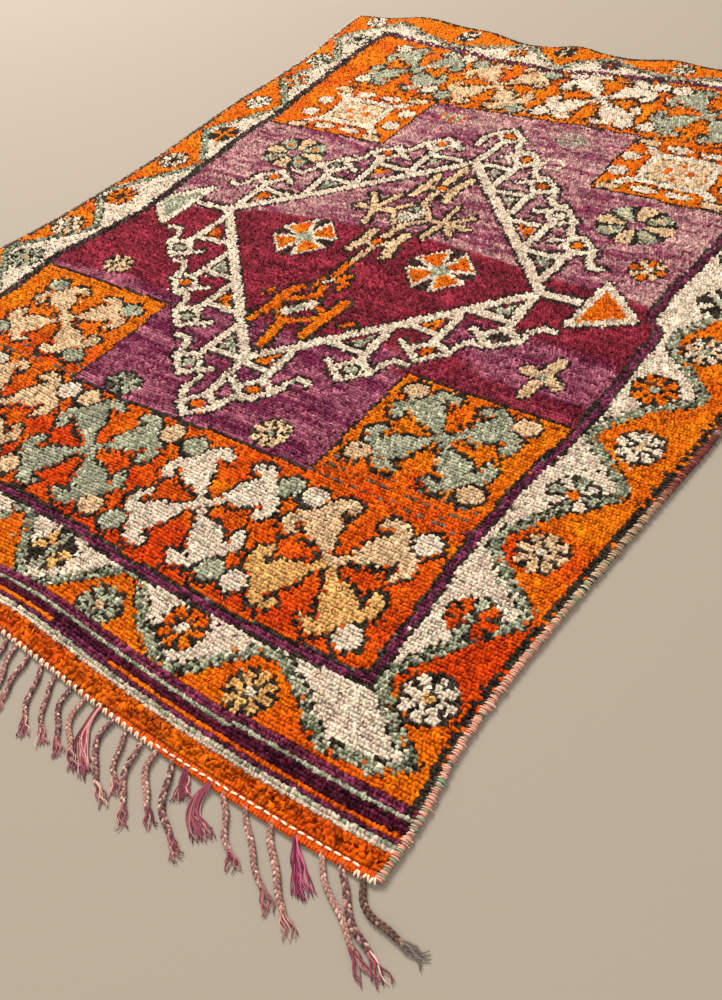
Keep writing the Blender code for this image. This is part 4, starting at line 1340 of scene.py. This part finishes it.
def tassel_lines(rows, fractions):
    """Points along each tassel: its bearing eases from root to tip, and small steps are summed."""
    count = LINE_STEPS
    slant = np.radians(rows[:, 2:3])
    length = rows[:, 1:2] + ROOT_REACH / np.cos(slant)
    middle = (np.arange(count) + 0.5) / count
    turned = ease(middle / TURNED_AT)[None, :]
    bearing = np.radians(rows[:, 2:3] + (rows[:, 3:4] - rows[:, 2:3]) * turned)
    step = length / count
    none = np.zeros((len(rows), 1))
    x = rows[:, :1] - ROOT_REACH * np.tan(slant)
    x = x + np.cumsum(np.hstack([none, step * np.sin(bearing)]), axis=1)
    start = smooth_line(END_EDGES, 1, rows[:, :1]) - GAP - STRIP_DEPTH + ROOT_REACH
    y = start - np.cumsum(np.hstack([none, step * np.cos(bearing)]), axis=1)
    at = fractions * count
    low = np.minimum(at.astype(int), count - 1)
    part = at - low
    every = np.arange(len(rows))[:, None]
    x = mix(x[every, low], x[every, low + 1], part)
    y = mix(y[every, low], y[every, low + 1], part)
    aim = bearing[every, low]
    return x, y, np.sin(aim), -np.cos(aim)


tassels = tassel_rows()
unplaited = np.isin(tassels[:, 0], LOOSE_TUFTS)
plaited, loose_tufts = tassels[~unplaited], tassels[unplaited]


def plaits():
    """Three yarns each: across it swings as a sine, and up at twice the rate; the whole plait sways.
    Painted shade is returned for where each yarn dips low.
    """
    rows = np.repeat(plaited, 3, axis=0)
    strand = np.tile(np.arange(3), len(plaited))[:, None]
    fractions = np.linspace(0, 1 - FRAY, PLAIT_STEPS)[None, :] + np.zeros((len(rows), 1))
    x, y, dx, dy = tassel_lines(rows, fractions)
    loose = np.repeat(np.random.default_rng(71).random((len(plaited), 3)), 3, axis=0)
    phase = 2 * math.pi * (fractions * rows[:, 1:2] / PLAIT_TURN + strand / 3 + loose[:, :1])
    wide = PLAIT_WIDTH / 2 * (0.70 + 0.14 * ease(fractions / PLAIT_EASE)) * (0.90 + 0.20 * loose[:, 1:2])
    wide = wide * (1 - 0.22 * ease((fractions - 0.55) / PLAIT_EASE))
    held = ease(fractions / PLAIT_EASE) * ease((1 - FRAY - fractions) / PLAIT_EASE)
    sway = PLAIT_SWAY * held * np.sin(2 * math.pi * (fractions * 1.3 + loose[:, 2:3]))
    swing = np.sin(phase) * wide * 0.60 + sway
    radius = wide * 0.47
    z = PLAIT_MIDDLE + PLAIT_RISE * np.sin(2 * phase) + 0 * x
    # Painted shade: darkest where a yarn dips low under the others.
    shade = np.repeat(0.5 - 0.5 * np.sin(2 * phase), YARN_CORNERS, axis=1)
    return tubes_along(x - dy * swing, y + dx * swing, z, radius, YARN_CORNERS), shade.ravel()


def loose_ends(rows, seed, first, per_tassel, spread):
    """Strands that fan out from where the plait stops, each with a curl that grows to its tip."""
    source = np.random.default_rng(seed)
    rows = np.repeat(rows, per_tassel, axis=0)
    count = len(rows)
    length = source.uniform(0.75, 1.0, size=(count, 1))
    t = np.linspace(0, 1, FRAY_STEPS)[None, :]
    fractions = np.minimum(first + (1 - first) * t * length, 1.0)
    x, y, dx, dy = tassel_lines(rows, fractions)
    side = source.uniform(-1, 1, size=(count, 1))
    turns = t * source.uniform(0.6, 1.8, (count, 1)) + source.random((count, 1))
    wave = FRAY_CURL * np.sin(2 * math.pi * turns)
    drift = side * (0.0026 + spread * t**1.3) + wave * t**0.7
    radius = FRAY_RADIUS * (1 - 0.55 * t) * source.uniform(0.75, 1.25, (count, 1))
    height = source.uniform(0.0018, 0.0060, (count, 1)) * (1 - t) + 0.0014 * t + 0.0006
    return tubes_along(x - dy * drift, y + dx * drift, height, radius, 4)


TASSEL_WOOL = wool("tassel_wool", 2200.0, 0.40, 0.5, 0.0006, 0.12)
MARLED = np.array([(144, 104, 98), (168, 126, 114), (108, 74, 76)])
PALE_FLECK = (200, 164, 150)
FRAY_YARNS = np.array([(158, 98, 96), (124, 54, 70), (186, 144, 130), (98, 54, 62), (150, 102, 96)])
TUFT_YARNS = np.array([(114, 46, 64), (136, 66, 80), (86, 36, 50), (180, 128, 122), (124, 60, 68)])
CORNER_TASSEL_FROM = 0.775  # the one at the corner is a browner grey
CORNER_PLAIT, CORNER_FRAY = np.array([0.70, 0.72, 0.66]), (106, 94, 86)
MAGENTA_TUFT = np.array([0.88, 0.60, 0.84])  # what the last tuft's yarns are multiplied by

plait_points, plait_painted_shade = plaits()
plait_piece, made = joined_tubes("plaits", plait_points, TASSEL_WOOL)
source = np.random.default_rng(73)
tubes, rings = plait_points.shape[:2]
own = MARLED[source.integers(0, 3, size=(tubes, 1)) + np.zeros((1, rings - 1), dtype=int)]
picked = np.where(source.random((tubes, rings - 1, 1)) < 0.14, PALE_FLECK, own)
corner = np.repeat(plaited[:, 0] > CORNER_TASSEL_FROM, 3)[:, None, None]
picked = np.where(corner, picked * CORNER_PLAIT, picked)
tone = 1 + 0.10 * source.normal(size=(tubes, rings - 1, 1))
paint_tubes(plait_piece, np.clip(linear(picked) * tone, 0, 1), *made, plait_painted_shade)
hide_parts("fringe_near")

frays = np.concatenate([
    loose_ends(plaited, 81, 1 - FRAY - 0.03, FRAYS_EACH, 0.0070),
    loose_ends(loose_tufts, 83, 0.0, TUFT_STRANDS, 0.0105),
])
fray_piece, made = joined_tubes("frayed_ends", frays, TASSEL_WOOL)
tubes, rings = frays.shape[:2]
choice = source.integers(0, 5, size=(tubes, 1)) + np.zeros((1, rings - 1), dtype=int)
tone = 1 + 0.18 * source.normal(size=(tubes, 1, 1))
of_plaits = FRAYS_EACH * len(plaited)
corner = np.zeros(tubes, dtype=bool)
corner[:of_plaits] = np.repeat(plaited[:, 0] > CORNER_TASSEL_FROM, FRAYS_EACH)
fray_colours = np.where(corner[:, None, None], CORNER_FRAY, FRAY_YARNS[choice])
fray_colours[of_plaits:] = TUFT_YARNS[choice[of_plaits:]]
fray_colours[-TUFT_STRANDS:] = fray_colours[-TUFT_STRANDS:] * MAGENTA_TUFT
paint_tubes(fray_piece, np.clip(linear(fray_colours) * tone, 0, 1), *made, np.zeros(frays.size // 3))
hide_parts("fringe_near")

# The floor and the light: a plain pale floor, one large soft light high on the left, a weaker one
# behind the camera, and pale air all round.
FLOOR_SIZE, FLOOR_COLOUR = 9.0, (0.255, 0.220, 0.178)
AIR_COLOUR, AIR_STRENGTH = (1.0, 0.97, 0.93, 1.0), 0.66


def floor():
    """One level square."""
    material = bpy.data.materials.new("pale_floor")
    material.use_nodes = True
    surface = material.node_tree.nodes["Principled BSDF"]
    surface.inputs["Base Color"].default_value = (*FLOOR_COLOUR, 1.0)
    surface.inputs["Roughness"].default_value = 0.75
    surface.inputs["Specular IOR Level"].default_value = 0.10
    mesh = bpy.data.meshes.new("floor")
    corners = np.array([(-1, -1, 0), (1, -1, 0), (1, 1, 0), (-1, 1, 0)]) * FLOOR_SIZE / 2
    mesh.from_pydata(corners.tolist(), [], [(0, 1, 2, 3)])
    mesh.materials.append(material)
    ground = bpy.data.objects.new("floor", mesh)
    bpy.context.scene.collection.objects.link(ground)


def soft_light(name, place, aim, width, power, colour):
    """A square light that faces its aim."""
    lamp = bpy.data.lights.new(name, "AREA")
    lamp.size = width
    lamp.energy = power
    lamp.color = colour
    held = bpy.data.objects.new(name, lamp)
    away = np.array(place, dtype=float) - np.array(aim, dtype=float)
    away /= np.linalg.norm(away)
    right = np.cross([0.0, 0.0, 1.0], away)
    right /= np.linalg.norm(right)
    above = np.cross(away, right)
    held.matrix_world = placed(right, above, away, place)
    bpy.context.scene.collection.objects.link(held)


floor()
soft_light("window", (-6.3, 3.9, 6.3), (0.0, 0.0, 0.0), 3.6, 1890.0, (1.0, 0.95, 0.88))
soft_light("room", (3.0, -3.4, 3.8), (0.0, 0.0, 0.0), 3.0, 130.0, (1.0, 0.96, 0.91))
air = bpy.data.worlds.new("air")
air.use_nodes = True
air.node_tree.nodes["Background"].inputs["Color"].default_value = AIR_COLOUR
air.node_tree.nodes["Background"].inputs["Strength"].default_value = AIR_STRENGTH
bpy.context.scene.world = air

bpy.context.scene.view_settings.view_transform = "Standard"
